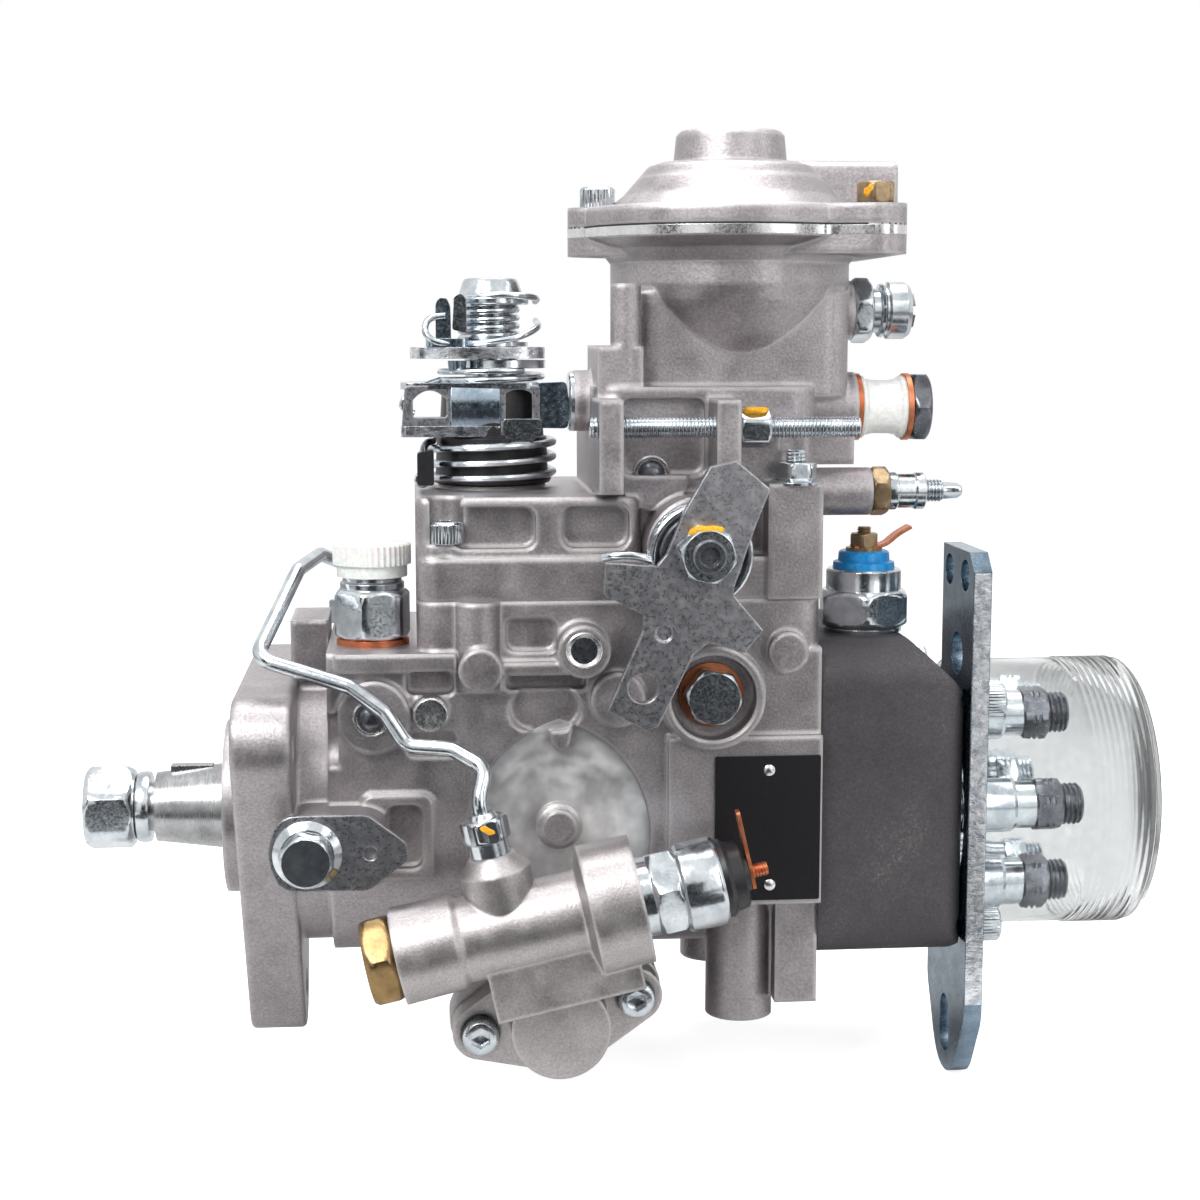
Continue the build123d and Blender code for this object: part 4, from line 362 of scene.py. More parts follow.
def hexagon(flats, x0, x1, bore=0.0, chamfer=1.1, turn=0.0):
    """A hexagon from x0 to x1 with both ends turned off in a cone, with or without a bore."""
    low, corner = flats / 2 * HEX_FOOT, flats / 2 * HEX_CORNER
    rows = [(x0, bore), (x0, low), (x0 + chamfer, corner), (x1 - chamfer, corner), (x1, low), (x1, bore)]
    return turned(rows, 48, flats, turn, closed=bore > 0, cuts=3)


def threaded(x0, x1, r, pitch, depth, sides=30):
    """Screw thread round +X: r - depth * |2 f - 1| with f the fraction of x / pitch - a / 2 pi, run down at
    both ends."""
    x = np.linspace(x0, x1, int((x1 - x0) / pitch * 6) + 1)
    a = np.linspace(0, 2 * pi, sides, endpoint=False)
    f = (x[:, None] / pitch - a[None] / (2 * pi)) % 1.0
    radius = r - depth * np.abs(2 * f - 1)
    end = np.minimum(x - x0, x1 - x)[:, None]
    radius = np.minimum(radius, r - depth + end)
    caps = [np.repeat([[[end_x, 0.0, 0.0]]], sides, 1) for end_x in (x0, x1)]
    points = np.concatenate([caps[0], round_x(x[:, None], radius, a), caps[1]]).reshape(-1, 3)
    return points, grid_faces(len(x) + 2, sides)


def swept(path, section, up=(0, 0, 1), closed=False):
    """A section (u, v) along a path: point = path + u * side + v * over, where side = tangent x up and over
    = side x tangent, both of length 1."""
    path, section = np.asarray(path, float), np.asarray(section, float)
    tangent = np.roll(path, -1, 0) - np.roll(path, 1, 0) if closed else np.gradient(path, axis=0)
    side = np.cross(tangent, up)
    side /= np.linalg.norm(side, axis=1)[:, None]
    over = np.cross(side, tangent)
    over /= np.linalg.norm(over, axis=1)[:, None]
    points = path[:, None] + side[:, None] * section[None, :, :1] + over[:, None] * section[None, :, 1:]
    n, m = len(path), len(section)
    faces = grid_faces(n, m, wrap_rows=closed)
    if not closed:
        faces += [list(range(m)), [(n - 1) * m + i for i in reversed(range(m))]]
    return points.reshape(-1, 3), faces


def ring_section(r, sides=12):
    """A circle of radius r: (r cos a, r sin a)."""
    a = np.linspace(0, 2 * pi, sides, endpoint=False)
    return np.stack([r * np.cos(a), r * np.sin(a)], -1)


def strip_section(width, thick):
    """A flat strip's section with its corners cut a little."""
    w, t = width / 2, thick / 2
    c = t * 0.4
    return [(-w + c, -t), (w - c, -t), (w, -t + c), (w, t - c), (w - c, t), (-w + c, t), (-w, t - c),
            (-w, -t + c)]


def bend(points, steps=6):
    """A smooth line through corner points: each corner p is rounded as a (1-t)^2 + 2 p t (1-t) + b t^2, with
    a and b halfway to the points beside it."""
    p = np.asarray(points, float)
    t = np.linspace(0, 1, steps)[None, :, None]
    a, b = (p[:-2] + p[1:-1]) / 2, (p[1:-1] + p[2:]) / 2
    curve = a[:, None] * (1 - t) ** 2 + 2 * p[1:-1, None] * t * (1 - t) + b[:, None] * t ** 2
    curve = curve.reshape(-1, p.shape[1])
    keep = np.append(True, np.linalg.norm(np.diff(curve, axis=0), axis=1) > 1e-6)
    return np.vstack([p[:1], curve[keep], p[-1:]])


def coil(r, x0, x1, turns, wire, swell=None, per_turn=36):
    """A coil spring round +X: x runs evenly but closes up at both ends; with swell, a function of the turn,
    its radius grows on the side where cos a is positive."""
    t = np.linspace(0, turns, int(turns * per_turn))
    rate = 0.15 + 0.85 * np.clip(np.minimum(t, turns - t) / 0.75, 0, 1)
    along = np.append(0, np.cumsum((rate[1:] + rate[:-1]) / 2))
    a = 2 * pi * t
    radius = r + (swell(t) * np.clip(np.cos(a), 0, 1) ** 2 if swell else 0)
    path = round_x(x0 + (x1 - x0) * along / along[-1], radius, a)
    return swept(path, ring_section(wire, 10), up=(1, 0, 0))


def soft(corners, radius, steps=5):
    """A closed outline with rounded corners: each corner p becomes a (1-t)^2 + 2 p t (1-t) + b t^2, with a
    and b at the given radius along its two sides."""
    p = np.asarray(corners, float)
    back, on = np.roll(p, 1, 0) - p, np.roll(p, -1, 0) - p
    r = np.broadcast_to(np.asarray(radius, float), (len(p),))[:, None]
    limit = [np.linalg.norm(v, axis=1)[:, None] for v in (back, on)]
    a = p + back / limit[0] * np.minimum(r, limit[0] * 0.48)
    b = p + on / limit[1] * np.minimum(r, limit[1] * 0.48)
    t = np.linspace(0, 1, steps)[None, :, None]
    return (a[:, None] * (1 - t) ** 2 + 2 * p[:, None] * t * (1 - t) + b[:, None] * t ** 2).reshape(-1, 2)


def plate(outline, axis, low, high):
    """A flat plate: a closed outline (u, v) on the two other axes in order, from low to high along axis."""
    outline = np.asarray(outline, float)
    n = len(outline)
    points = np.concatenate([np.insert(outline, axis, w, axis=1) for w in (low, high)])
    faces = [list(range(n)), [n + i for i in reversed(range(n))]]
    return points, faces + [[i, (i + 1) % n, n + (i + 1) % n, n + i] for i in range(n)]


def rays(steps):
    """Directions all round, as (cos a, sin a)."""
    a = np.linspace(0, 2 * pi, steps, endpoint=False)
    return np.stack([np.cos(a), np.sin(a)], -1)


def reach(outline, centre, steps):
    """How far a convex outline lies from a centre along each ray: the least of all its sides' distance /
    cos(angle between the ray and that side's normal)."""
    p = np.asarray(outline, float) - centre
    q = np.roll(p, -1, 0)
    normal = np.stack([q[:, 1] - p[:, 1], p[:, 0] - q[:, 0]], -1)
    keep = np.linalg.norm(normal, axis=1) > 1e-6
    normal = normal[keep] / np.linalg.norm(normal[keep], axis=1)[:, None]
    gap = (normal * p[keep]).sum(1)
    normal, gap = normal * np.sign(gap)[:, None], np.abs(gap)
    return (gap[:, None] / np.maximum(normal @ rays(steps).T, 1e-3)).min(0)[:, None]


def ring_plate(inside, outside, centre, axis, low, high, steps=96):
    """A plate between two radii round a centre, each a number or one number for each ray."""
    rings = [np.insert(rays(steps) * r + centre, axis, w, axis=1)
             for r, w in ((inside, low), (outside, low), (outside, high), (inside, high))]
    return np.concatenate(rings), grid_faces(4, steps, wrap_rows=True)


def hull(circles, steps=96):
    """The line stretched round circles (u, v, r): in each direction n, the point c + r n of the circle that
    reaches farthest."""
    c = np.asarray(circles, float)
    n = rays(steps)
    far = (n @ c[:, :2].T + c[:, 2]).argmax(1)
    return c[far, :2] + n * c[far, 2:]


def blob(centre, radii, lumps=0.25):
    """A lump of paint: an ellipsoid whose radius swells by lumps * sin(3 a + 1) * sin(2 b)."""
    b, a = np.meshgrid(np.linspace(0, pi, 9), np.linspace(0, 2 * pi, 16, endpoint=False), indexing="ij")
    swell = 1 + lumps * np.sin(3 * a + 1) * np.sin(2 * b)
    unit = np.stack([np.sin(b) * np.cos(a), np.sin(b) * np.sin(a), np.cos(b)], -1) * swell[..., None]
    return (unit * radii + centre).reshape(-1, 3), grid_faces(9, 16)


TURNS = {"x": np.eye(3), "z": np.array([[0, 0, 1], [0, 1, 0], [-1, 0, 0]], float),
         "-y": np.array([[0, -1, 0], [1, 0, 0], [0, 0, 1]], float),
         "y": np.array([[0, 1, 0], [-1, 0, 0], [0, 0, 1]], float),
         "barrel": np.array([[cos(BARREL_TILT), 0, sin(BARREL_TILT)], [0, 1, 0],
                             [-sin(BARREL_TILT), 0, cos(BARREL_TILT)]])}


def put(shape, axis, x=0.0, y=0.0, z=0.0):
    """Turn a shape made round +X so that +X points along axis, then shift it."""
    points, faces = shape
    return np.asarray(points, float) @ TURNS[axis] + [x, y, z], faces


def put_all(shapes, axis, x=0.0, y=0.0, z=0.0):
    """Turn and shift several shapes alike."""
    return [put(shape, axis, x, y, z) for shape in shapes]


def make_piece(name, shapes, body, material, stands_for=None, sharp=32):
    """One piece from one or more shapes: their seams and poles are merged and their faces turned
    outwards."""
    mesh = bpy.data.meshes.new(name)
    points, faces, shift = [], [], 0
    for p, f in shapes if isinstance(shapes, list) else [shapes]:
        points.append(np.asarray(p, float) * MM)
        faces += [[i + shift for i in face] for face in f]
        shift += len(p)
    mesh.from_pydata(np.concatenate(points).tolist(), [], faces)
    work = bmesh.new()
    work.from_mesh(mesh)
    bmesh.ops.remove_doubles(work, verts=work.verts, dist=2e-6)
    bmesh.ops.recalc_face_normals(work, faces=work.faces)
    work.to_mesh(mesh)
    work.free()
    mesh.polygons.foreach_set("use_smooth", [True] * len(mesh.polygons))
    mesh.set_sharp_from_angle(angle=radians(sharp))
    mesh.materials.append(MATERIALS[material])
    piece = bpy.data.objects.new(name, mesh)
    bpy.context.scene.collection.objects.link(piece)
    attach(piece, body)
    if stands_for:
        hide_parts(stands_for)


def on_pump(name, shapes, material, stands_for=None):
    """A piece that stays with the pump's housing."""
    make_piece(name, shapes, "pump_body", material, stands_for)


# Drive end

def make_drive_end():
    """The shaft's nut on its thread, with a narrow collar and a round-edged washer: profiles turned round
    the shaft."""
    r = SHAFT_THREAD_R
    nut = put(hexagon(DRIVE_NUT_FLATS, DRIVE_NUT_X0, DRIVE_NUT_X1, bore=r, chamfer=1.9, turn=0.1), "x")
    collar = put(turned([(-33.0, r), (-33.0, 9.4), (-32.0, 9.4), (-32.0, r)], closed=True), "x")
    washer = turned([(-31.8, r), (-31.8, 9.2), (-31.3, 10.0), (-30.0, 10.3), (-28.4, 10.3), (-27.7, 10.0),
                     (-27.7, r)], closed=True)
    make_piece("drive_nut", nut, "drive_shaft_body", "zinc", "shaft_nut")
    make_piece("drive_washer", [collar, washer], "drive_shaft_body", "zinc", "shaft_nut")
    make_piece("shaft_thread", threaded(-46.4, -30.0, r, 1.5, 0.8, 40), "drive_shaft_body", "dark_steel")


# Throttle lever, its springs and the black spring guide

def throttle_parts(shapes, name, material):
    """A piece that turns with the throttle's shaft and stands for its lever."""
    make_piece(name, shapes, "throttle_body", material, "throttle_lever")


def at_throttle(shape, x=0.0, y=0.0):
    """Stand a turned shape up on the throttle's shaft, or beside it by x and y."""
    return put(shape, "z", THROTTLE_X + x, y, 0)


def make_cap_nut():
    """The nut over the shaft's end, a flange and a crown turned round it."""
    crown = [(144.6, 0.0), (144.6, 10.4), (145.0, 10.8), (146.2, 10.8), (146.6, 10.4), (146.7, 9.4),
             (147.3, 9.2), (151.0, 8.0), (151.8, 7.4), (152.0, 6.6), (151.6, 5.0), (151.6, 0.0)]
    throttle_parts(at_throttle(turned(crown, 64)), "throttle_cap_nut", "zinc")


def make_throttle_springs():
    """Tight coils round the shaft, whose wires lean out to one side, and the open ends of the wire."""
    body = at_throttle(coil(8.0, 133.0, 145.4, 6.0, 0.95, swell=lambda t: 1.5 + 3.0 * np.sin(t * 2.1) ** 2),
                       -0.6)
    loop = bend([(64.0, -6.0, 146.4), (72.0, -10.6, 147.2), (80.5, -9.5, 147.0), (85.0, -4.0, 146.4),
                 (84.6, 3.0, 145.6)])
    low = bend([(84.8, 4.0, 140.0), (85.6, -4.5, 138.4), (80.0, -10.4, 135.4), (70.0, -10.6, 133.8),
                (62.0, -7.0, 133.4)])
    end = bend([(60.0, -12.0, 133.6), (55.0, -13.0, 134.0), (52.4, -12.0, 137.0), (53.6, -11.5, 140.8),
                (58.5, -11.0, 141.4)])
    rods = [swept(path, ring_section(0.95)) for path in (loop, low, end)]
    throttle_parts([body] + rods, "throttle_top_spring", "zinc")
    low_ring = at_throttle(coil(14.6, 122.9, 126.0, 1.6, 0.9))
    hook = bend([(57.0, -8.0, 123.5), (51.0, -12.0, 121.5), (46.6, -13.5, 118.6), (45.8, -13.0, 115.6),
                 (49.5, -12.0, 114.2)])
    throttle_parts([low_ring, swept(hook, ring_section(0.8))], "throttle_wire_ring", "zinc")


def make_throttle_plates():
    """The upper plates with their sheared edges, the upright tab and the pale washer below."""
    x = THROTTLE_X
    upper = soft([(x - 24, -10), (x - 14, -13), (x - 2, -14), (x + 12, -12.5), (x + 16, -6), (x + 12, 6),
                  (x, 12), (x - 13, 9), (x - 22, 0)], 5)
    tab = soft([(55.8, 132.0), (60.2, 132.0), (60.0, 144.0), (59.0, 146.3), (56.6, 146.3), (55.8, 144.5)],
               0.8)
    strip = soft([(60.4, 137.5), (64.6, 136.5), (64.4, 146.2), (63.0, 147.7), (61.0, 146.8)], 0.8)
    throttle_parts([plate(upper, 2, 129.4, 132.6)], "throttle_upper_plate", "sheared")
    base = soft([(53, -13), (65, -13), (65, -5), (53, -5)], 2)
    throttle_parts([plate(tab, 1, -10.5, -8.6), plate(base, 2, 132.6, 135.0)], "throttle_tab", "zinc_blue")
    throttle_parts([plate(strip, 1, -11.8, -10.0)], "throttle_spring_hook", "zinc")
    hub = turned([(123.0, 0.0), (123.0, 7.6), (132.8, 7.6), (132.8, 10.6), (134.0, 10.6), (134.0, 0.0)], 40)
    pale = soft([(x - 7.2, -9), (x + 4, -12), (x + 15.6, -6), (x + 15.6, 5), (x + 2, 11), (x - 8, 7)], 5)
    throttle_parts([plate(pale, 2, 126.6, 128.9), at_throttle(hub)], "throttle_washer", "zinc")
    lug = turned([(126.0, 0.0), (126.0, 2.4), (128.8, 2.7), (128.8, 0.0)], 24)
    throttle_parts([put(lug, "z", 61.8, -9.0, 0.0)], "throttle_rivet", "zinc_blue")


def arched(u0, u1, v0, v1, crown, steps=9):
    """A window's outline: a flat foot and a top that rises by crown * (1 - s * s), s from -1 to 1 across
    it."""
    s = np.linspace(1, -1, steps)
    u = (u0 + u1) / 2 + s * (u1 - u0) / 2
    top = np.stack([u, v1 - crown + crown * (1 - s * s)], -1)
    return np.vstack([[(u0, v0), (u1, v0)], top])


def framed(outline, window, axis, low, high, steps=72):
    """A plate with one opening: on each ray from the opening's middle it runs from the opening out to the
    outline."""
    middle = np.asarray(window, float).mean(0)
    return ring_plate(reach(window, middle, steps), reach(outline, middle, steps), middle, axis, low, high,
                      steps)


def make_throttle_bracket():
    """The bent carrier below: its top, the band rolled between two open windows, its foot, tab and arm, and
    the disc and seal that meet the stop screw. The band bows out by 1.7 * (1 - a * a), with a from -1 to 1
    over its height."""
    x = THROTTLE_X
    top = soft([(x - 26, -14.5), (x + 13.1, -15), (x + 13.1, 12), (x - 20, 13), (x - 26, 4)], 4)
    throttle_parts([plate(top, 2, 120.9, 122.7)], "throttle_bracket_top", "zinc")
    left = framed([(45.8, 108.0), (59.6, 108.0), (59.6, 122.0), (47.0, 122.0)],
                  arched(49.2, 58.6, 113.2, 120.6, 2.6), 1, -14.6, -12.8)
    right = framed([(73.8, 108.0), (84.8, 108.0), (84.8, 122.0), (73.8, 122.0)],
                   arched(75.2, 82.6, 112.6, 120.9, 1.2), 1, -14.8, -13.0)
    throttle_parts([left, right], "throttle_bracket_windows", "zinc_sheet")
    a = np.linspace(-1, 1, 15)
    band = np.stack([np.full(15, 66.7), -13.2 - 1.7 * (1 - a * a), 116.4 + 6.0 * a], -1)
    throttle_parts([swept(band, strip_section(14.2, 1.8), up=(0, 1, 0))], "throttle_bracket_band",
                   "zinc_blue")
    foot = soft([(45.8, -14.8), (74.4, -14.8), (74.4, -7), (60, -4), (45.8, -7)], 1.5)
    tab = soft([(74.3, 112.6), (85.2, 112.6), (85.2, 108.8), (81.6, 105.3), (77.2, 105.3), (74.3, 108.2)],
               1.2)
    throttle_parts([plate(foot, 2, 107.6, 110.6)], "throttle_bracket_foot", "sheared")
    throttle_parts([plate(tab, 1, -15.0, -13.6)], "throttle_bracket_tab", "zinc")
    arm = soft([(83.8, 122.6), (92.4, 123.0), (93.2, 116.0), (92.8, 109.8), (84.0, 110.0)], 1.5)
    throttle_parts([plate(arm, 1, -14.0, -12.4)], "throttle_arm", "zinc_blue")
    disc = turned([(93.0, 0.0), (93.0, 7.8), (93.5, 8.5), (95.2, 8.5), (95.7, 7.8), (95.7, 0.0)], 40)
    seal = turned([(95.5, 0.0), (95.5, 6.4), (97.6, 6.4), (98.6, 5.2), (99.6, 4.6), (99.6, 0.0)], 32)
    throttle_parts([put(disc, "x", 0, STOP_DISC_Y, STOP_DISC_Z)], "throttle_stop_disc", "zinc")
    throttle_parts([put(seal, "x", 0, STOP_DISC_Y, STOP_DISC_Z)], "throttle_stop_seal", "rubber")


def make_spring_guide():
    """The black guide with its two coils, the square block beside them and the pin of the spring's end."""
    wall = [(94.0, 6.6), (94.0, 16.6), (95.0, 17.2), (96.2, 16.2), (107.0, 15.8), (107.4, 15.0),
            (120.6, 14.2), (120.6, 6.6)]
    guide = at_throttle(turned(wall, 64, closed=True))
    block = plate(soft([(50.2, 94.0), (54.9, 94.0), (54.9, 104.0), (50.2, 103.2)], 0.8), 1, -15.4, -10.0)
    on_pump("spring_guide", [guide, block], "black_plastic", "throttle_spring")
    coils = at_throttle(coil(17.6, 95.2, 106.4, 3.2, 1.15))
    pin = put(turned([(0, 0), (0, 1.9), (0.6, 2.3), (5.0, 2.3), (5.6, 1.9), (5.6, 0)], 24), "-y", 51.6, -9.0,
              95.6)
    tail = swept(bend([(54.8, -4.0, 106.0), (52.4, -9.0, 105.6), (51.4, -13.6, 101.0), (51.6, -14.2, 95.8)]),
                 ring_section(1.1))
    on_pump("guide_springs", [coils, pin, tail], "zinc", "throttle_spring")


# Stop lever

def make_stop_lever():
    """The stop lever's nut with its paint and its socketed stud; behind it, on the housing, the spring's
    coils and its leg, and the grey disc that carries them."""
    nut = hexagon(13.8, 62.0, 68.2, bore=4.7, chamfer=1.0, turn=0.26)
    stud = turned([(61.0, 0.0), (61.0, 4.6), (69.0, 4.6), (69.6, 4.0), (69.6, 2.7), (67.4, 2.5),
                   (67.4, 0.0)], 36)
    make_piece("stop_nut", put(nut, "-y", STOP_X, 0, STOP_Z), "stop_lever_body", "zinc")
    make_piece("stop_stud", put(stud, "-y", STOP_X, 0, STOP_Z), "stop_lever_body", "dark_steel")
    make_piece("stop_paint", blob((STOP_X - 0.6, -66.6, STOP_Z + 6.6), (4.6, 1.6, 1.3)), "stop_lever_body",
               "yellow_paint")
    rings = put(coil(13.0, 52.4, 57.6, 2.6, 1.1), "-y", STOP_SPRING_X, 0, STOP_SPRING_Z)
    leg = swept(bend([(113.0, -57.0, 76.0), (108.0, -58.6, 78.6), (101.4, -58.2, 78.4),
                      (99.0, -56.0, 77.6)]), ring_section(1.1))
    on_pump("stop_spring", [rings, leg], "zinc")
    disc = turned([(50.2, 0.0), (50.2, 11.4), (57.8, 11.4), (58.4, 10.8), (58.4, 0.0)], 48)
    on_pump("stop_spring_seat", put(disc, "-y", STOP_SPRING_X, 0, STOP_SPRING_Z), "dark_steel")


# Screws and plugs on the castings

def make_speed_screw():
    """The long screw that stops the throttle, its locknut and the fitter's dab of paint."""
    y, z = SPEED_SCREW_Y, SPEED_SCREW_Z
    rod = put(threaded(96.2, 169.4, 3.0, 1.0, 0.55, 24), "x", 0, y, z)
    nut = put(hexagon(10.0, 136.4, 144.6, bore=2.5, chamfer=0.9, turn=0.2), "x", 0, y, z)
    on_pump("speed_screw_rod", rod, "zinc", "max_speed_screw")
    on_pump("speed_screw_nut", nut, "zinc", "max_speed_screw")
    on_pump("speed_screw_paint", blob((140.4, y - 2.6, z + 4.6), (3.6, 1.9, 0.9)), "yellow_paint")


def make_idle_screw():
    """A flanged nut with its stud over the rear screw of the governor cover."""
    nut = hexagon(10.4, 96.4, 101.6, bore=2.8, chamfer=0.7, turn=0.1)
    washer = turned([(95.4, 2.8), (95.4, 7.6), (96.2, 7.6), (97.2, 5.6), (97.2, 2.8)], 40, closed=True)
    stud = threaded(99.0, 105.0, 2.9, 1.0, 0.45, 24)
    on_pump("idle_screw", put_all((nut, washer, stud), "z", IDLE_X, IDLE_Y, 0), "zinc")


def make_side_plugs():
    """The hexagon plug over its washer, two balls in their seats (2.4 sin a high, 3.9 cos a wide), a flat
    turned plug, and the hole whose rim is turned bright, closed just inside its mouth by a dark disc that is
    painted shade for its depth."""
    hexagons = hexagon(14.5, 42.6, 49.4, chamfer=1.2, turn=0.35)
    washer = turned([(41.6, 5.0), (41.6, 8.2), (42.4, 8.2), (42.4, 5.0)], 40, closed=True)
    on_pump("side_plug_hexagon", put_all((hexagons, washer), "-y", SIDE_PLUG_X, 0, SIDE_PLUG_Z), "zinc",
            "side_plug")
    a = np.linspace(0, pi / 2, 7)
    dome = np.stack([2.4 * np.sin(a), 3.9 * np.cos(a)], -1).tolist()
    ball = turned([(-1.0, 0.0), (-1.0, 3.9)] + dome, 32)
    seat = turned([(-1.0, 3.7), (-1.0, 5.2), (0.3, 5.2), (0.7, 4.7), (0.3, 4.2), (0.3, 3.7)], 48,
                  closed=True)
    for n, (x, y, z) in enumerate(BALL_PLUGS):
        on_pump("ball_plug_%d" % (n + 1), put(ball, "-y", x, y, z), "dark_steel")
        on_pump("ball_seat_%d" % (n + 1), put(seat, "-y", x, y, z), "turned_aluminium")
    plug = [(46.0, 0.0), (46.0, 4.7), (48.0, 4.7), (48.4, 4.3), (48.4, 0.6), (48.2, 0.0)]
    on_pump("turned_plug", put(turned(plug, 48), "-y", TURNED_PLUG_X, 0, TURNED_PLUG_Z), "turned_aluminium")
    rim = [(49.0, 3.6), (49.0, 5.0), (50.3, 5.0), (50.6, 4.6), (50.2, 3.6)]
    on_pump("hole_rim", put(turned(rim, 48, closed=True), "-y", SIDE_HOLE_X, 0, SIDE_HOLE_Z),
            "turned_aluminium")
    # a dark disc just inside the rim: painted shade where the hole goes deep
    pit = [(49.0, 0.0), (49.0, 3.8), (50.1, 3.8), (50.1, 0.0)]
    on_pump("hole_painted_shade", put(turned(pit, 32), "-y", SIDE_HOLE_X, 0, SIDE_HOLE_Z), "dark_steel")


def make_side_plate():
    """The black sheet with its two rivets, and the milled floor of the hollow beside it: two arcs of MILL_R
    about MILL_XS, held above MILL_FOOT_Z."""
    sheet = soft([(PLATE_LEFT, PLATE_TOP), (PLATE_RIGHT, PLATE_TOP), (PLATE_RIGHT, PLATE_LOW),
                  (PLATE_LEFT, PLATE_LOW)], 0.6)
    on_pump("bare_plate", plate(sheet, 1, -45.65, -44.9), "plate_black")
    t = np.linspace(-1.29, 1.29, 28)
    arc = MILL_R * np.stack([np.cos(t), np.sin(t)], -1)
    floor = np.vstack([[x, MILL_Z] + arc * [-side, side] for side, x in zip((1, -1), MILL_XS)])
    floor[:, 1] = np.maximum(floor[:, 1], MILL_FOOT_Z)
    on_pump("milled_floor", plate(floor, 1, -39.14, -38.6), "milled")
    rivet = turned([(44.0, 0.0), (44.0, 1.6), (45.9, 1.6), (46.3, 1.0), (46.4, 0.0)], 24)
    on_pump("plate_rivets", [put(rivet, "-y", x, 0, z) for x, z in PLATE_RIVETS], "turned_aluminium")


# Fuel inlet, overflow, vent, full-load screw and shut-off solenoid

def make_inlet():
    """The ribbed white transit cap over the inlet's hexagon and its necked screw: profiles turned round an
    upright."""
    z0 = INLET_Z0
    ribbed = turned([(z0 + 19.6, 0.0), (z0 + 19.6, 8.4), (z0 + 20.6, 8.4), (z0 + 20.8, 10.9),
                     (z0 + 26.2, 10.9), (z0 + 26.6, 10.5), (z0 + 26.6, 0.0)], 240, ribs=(40, 0.45, 10.2))
    skirt = turned([(z0 + 17.4, 8.7), (z0 + 17.4, 9.8), (z0 + 20.8, 9.8), (z0 + 20.8, 8.7)], 64, closed=True)
    make_piece("inlet_cap_ribs", put_all((ribbed, skirt), "z", INLET_X, INLET_Y, 0), "inlet_cap_body",
               "white_plastic", "inlet_cap")
    nut = hexagon(19.0, z0, z0 + 13.8, bore=6.9, chamfer=1.5, turn=0.3)
    neck = turned([(z0 + 13.6, 6.9), (z0 + 13.6, 8.5), (z0 + 14.2, 8.9), (z0 + 15.6, 8.9), (z0 + 16.2, 8.2),
                   (z0 + 16.9, 8.2), (z0 + 17.0, 8.55), (z0 + 18.9, 8.55), (z0 + 19.0, 8.2),
                   (z0 + 19.0, 6.9)], 64, closed=True)
    thread = turned([(z0 - 2.0, 0.0), (z0 - 2.0, 6.9), (z0 + 1.0, 6.9), (z0 + 1.0, 0.0)], 32)
    on_pump("inlet_hexagon", put_all((nut, neck, thread), "z", INLET_X, INLET_Y, 0), "zinc",
            "inlet_fitting")


def make_overflow():
    """The overflow's bolt through its waisted white sleeve, turned round a line along X."""
    y, z = OVERFLOW_Y, OVERFLOW_Z
    waist = [(176.5, 5.2), (176.5, 8.9), (177.6, 8.9), (178.4, 8.1), (180.6, 7.6), (185.4, 7.6),
             (187.6, 8.1), (188.4, 8.9), (189.5, 8.9), (189.5, 5.2)]
    on_pump("overflow_waist", put(turned(waist, 64, closed=True), "x", 0, y, z), "white_plastic",
            "overflow_sleeve")
    bolt = hexagon(18.5, 191.0, 196.4, chamfer=1.4, turn=0.5)
    shank = turned([(172.0, 0.0), (172.0, 5.0), (191.2, 5.0), (191.2, 0.0)], 32)
    on_pump("overflow_hexagon", put_all((bolt, shank), "x", 0, y, z), "dark_steel", "overflow_bolt")


def make_full_load():
    """The full-load screw: its locknut, thread, grooved sleeve and drawn-down tip, turned round a line along
    X."""
    y, z = FULL_LOAD_Y, FULL_LOAD_Z
    nut = put(hexagon(12.4, 178.0, 183.2, bore=2.8, chamfer=0.9, turn=0.15), "x", 0, y, z)
    sleeve = turned([(183.2, 2.8), (183.2, 5.2), (184.0, 5.4), (185.4, 5.4), (186.0, 4.9), (190.6, 4.9),
                     (191.2, 5.3), (193.4, 5.3), (193.8, 4.9), (193.8, 2.8)], 40, closed=True)
    tip = turned([(198.0, 0.0), (198.0, 2.6), (203.6, 2.2), (204.8, 1.4), (204.8, 0.0)], 24)
    on_pump("full_load_nut", nut, "brassy", "full_load_screw")
    thread = threaded(178.0, 199.0, 3.3, 1.0, 0.55, 24)
    on_pump("full_load_rod", put_all((sleeve, thread, tip), "x", 0, y, z), "zinc", "full_load_screw")


def make_vent():
    """The vent's hexagon and necked cap, with a slot left between the two halves of its screw."""
    z = VENT_Z
    nut = hexagon(17.0, 176.0, 181.6, bore=4.0, chamfer=1.3, turn=0.2)
    neck = turned([(169.5, 0.0), (169.5, 4.0), (181.4, 4.0), (181.4, 6.4), (184.0, 6.4), (184.4, 7.6),
                   (185.2, 7.8), (185.8, 7.0), (186.4, 7.0), (186.8, 8.2), (191.6, 8.2), (193.0, 7.2),
                   (193.2, 6.0), (190.9, 5.6), (190.9, 0.0)], 56)
    half = np.array([(5.0, 1.2), (2.0, 4.8), (-2.0, 4.8), (-5.0, 1.2)])
    halves = [plate(soft(half * side, 0.8), 0, 190.5, 194.3) for side in (1, -1)]
    on_pump("vent_hexagon", put_all((nut, neck), "x", 0, 0, z), "zinc", "vent_fitting")
    on_pump("vent_screw", [(points + [0, 0, z], faces) for points, faces in halves], "dark_steel",
            "vent_fitting")


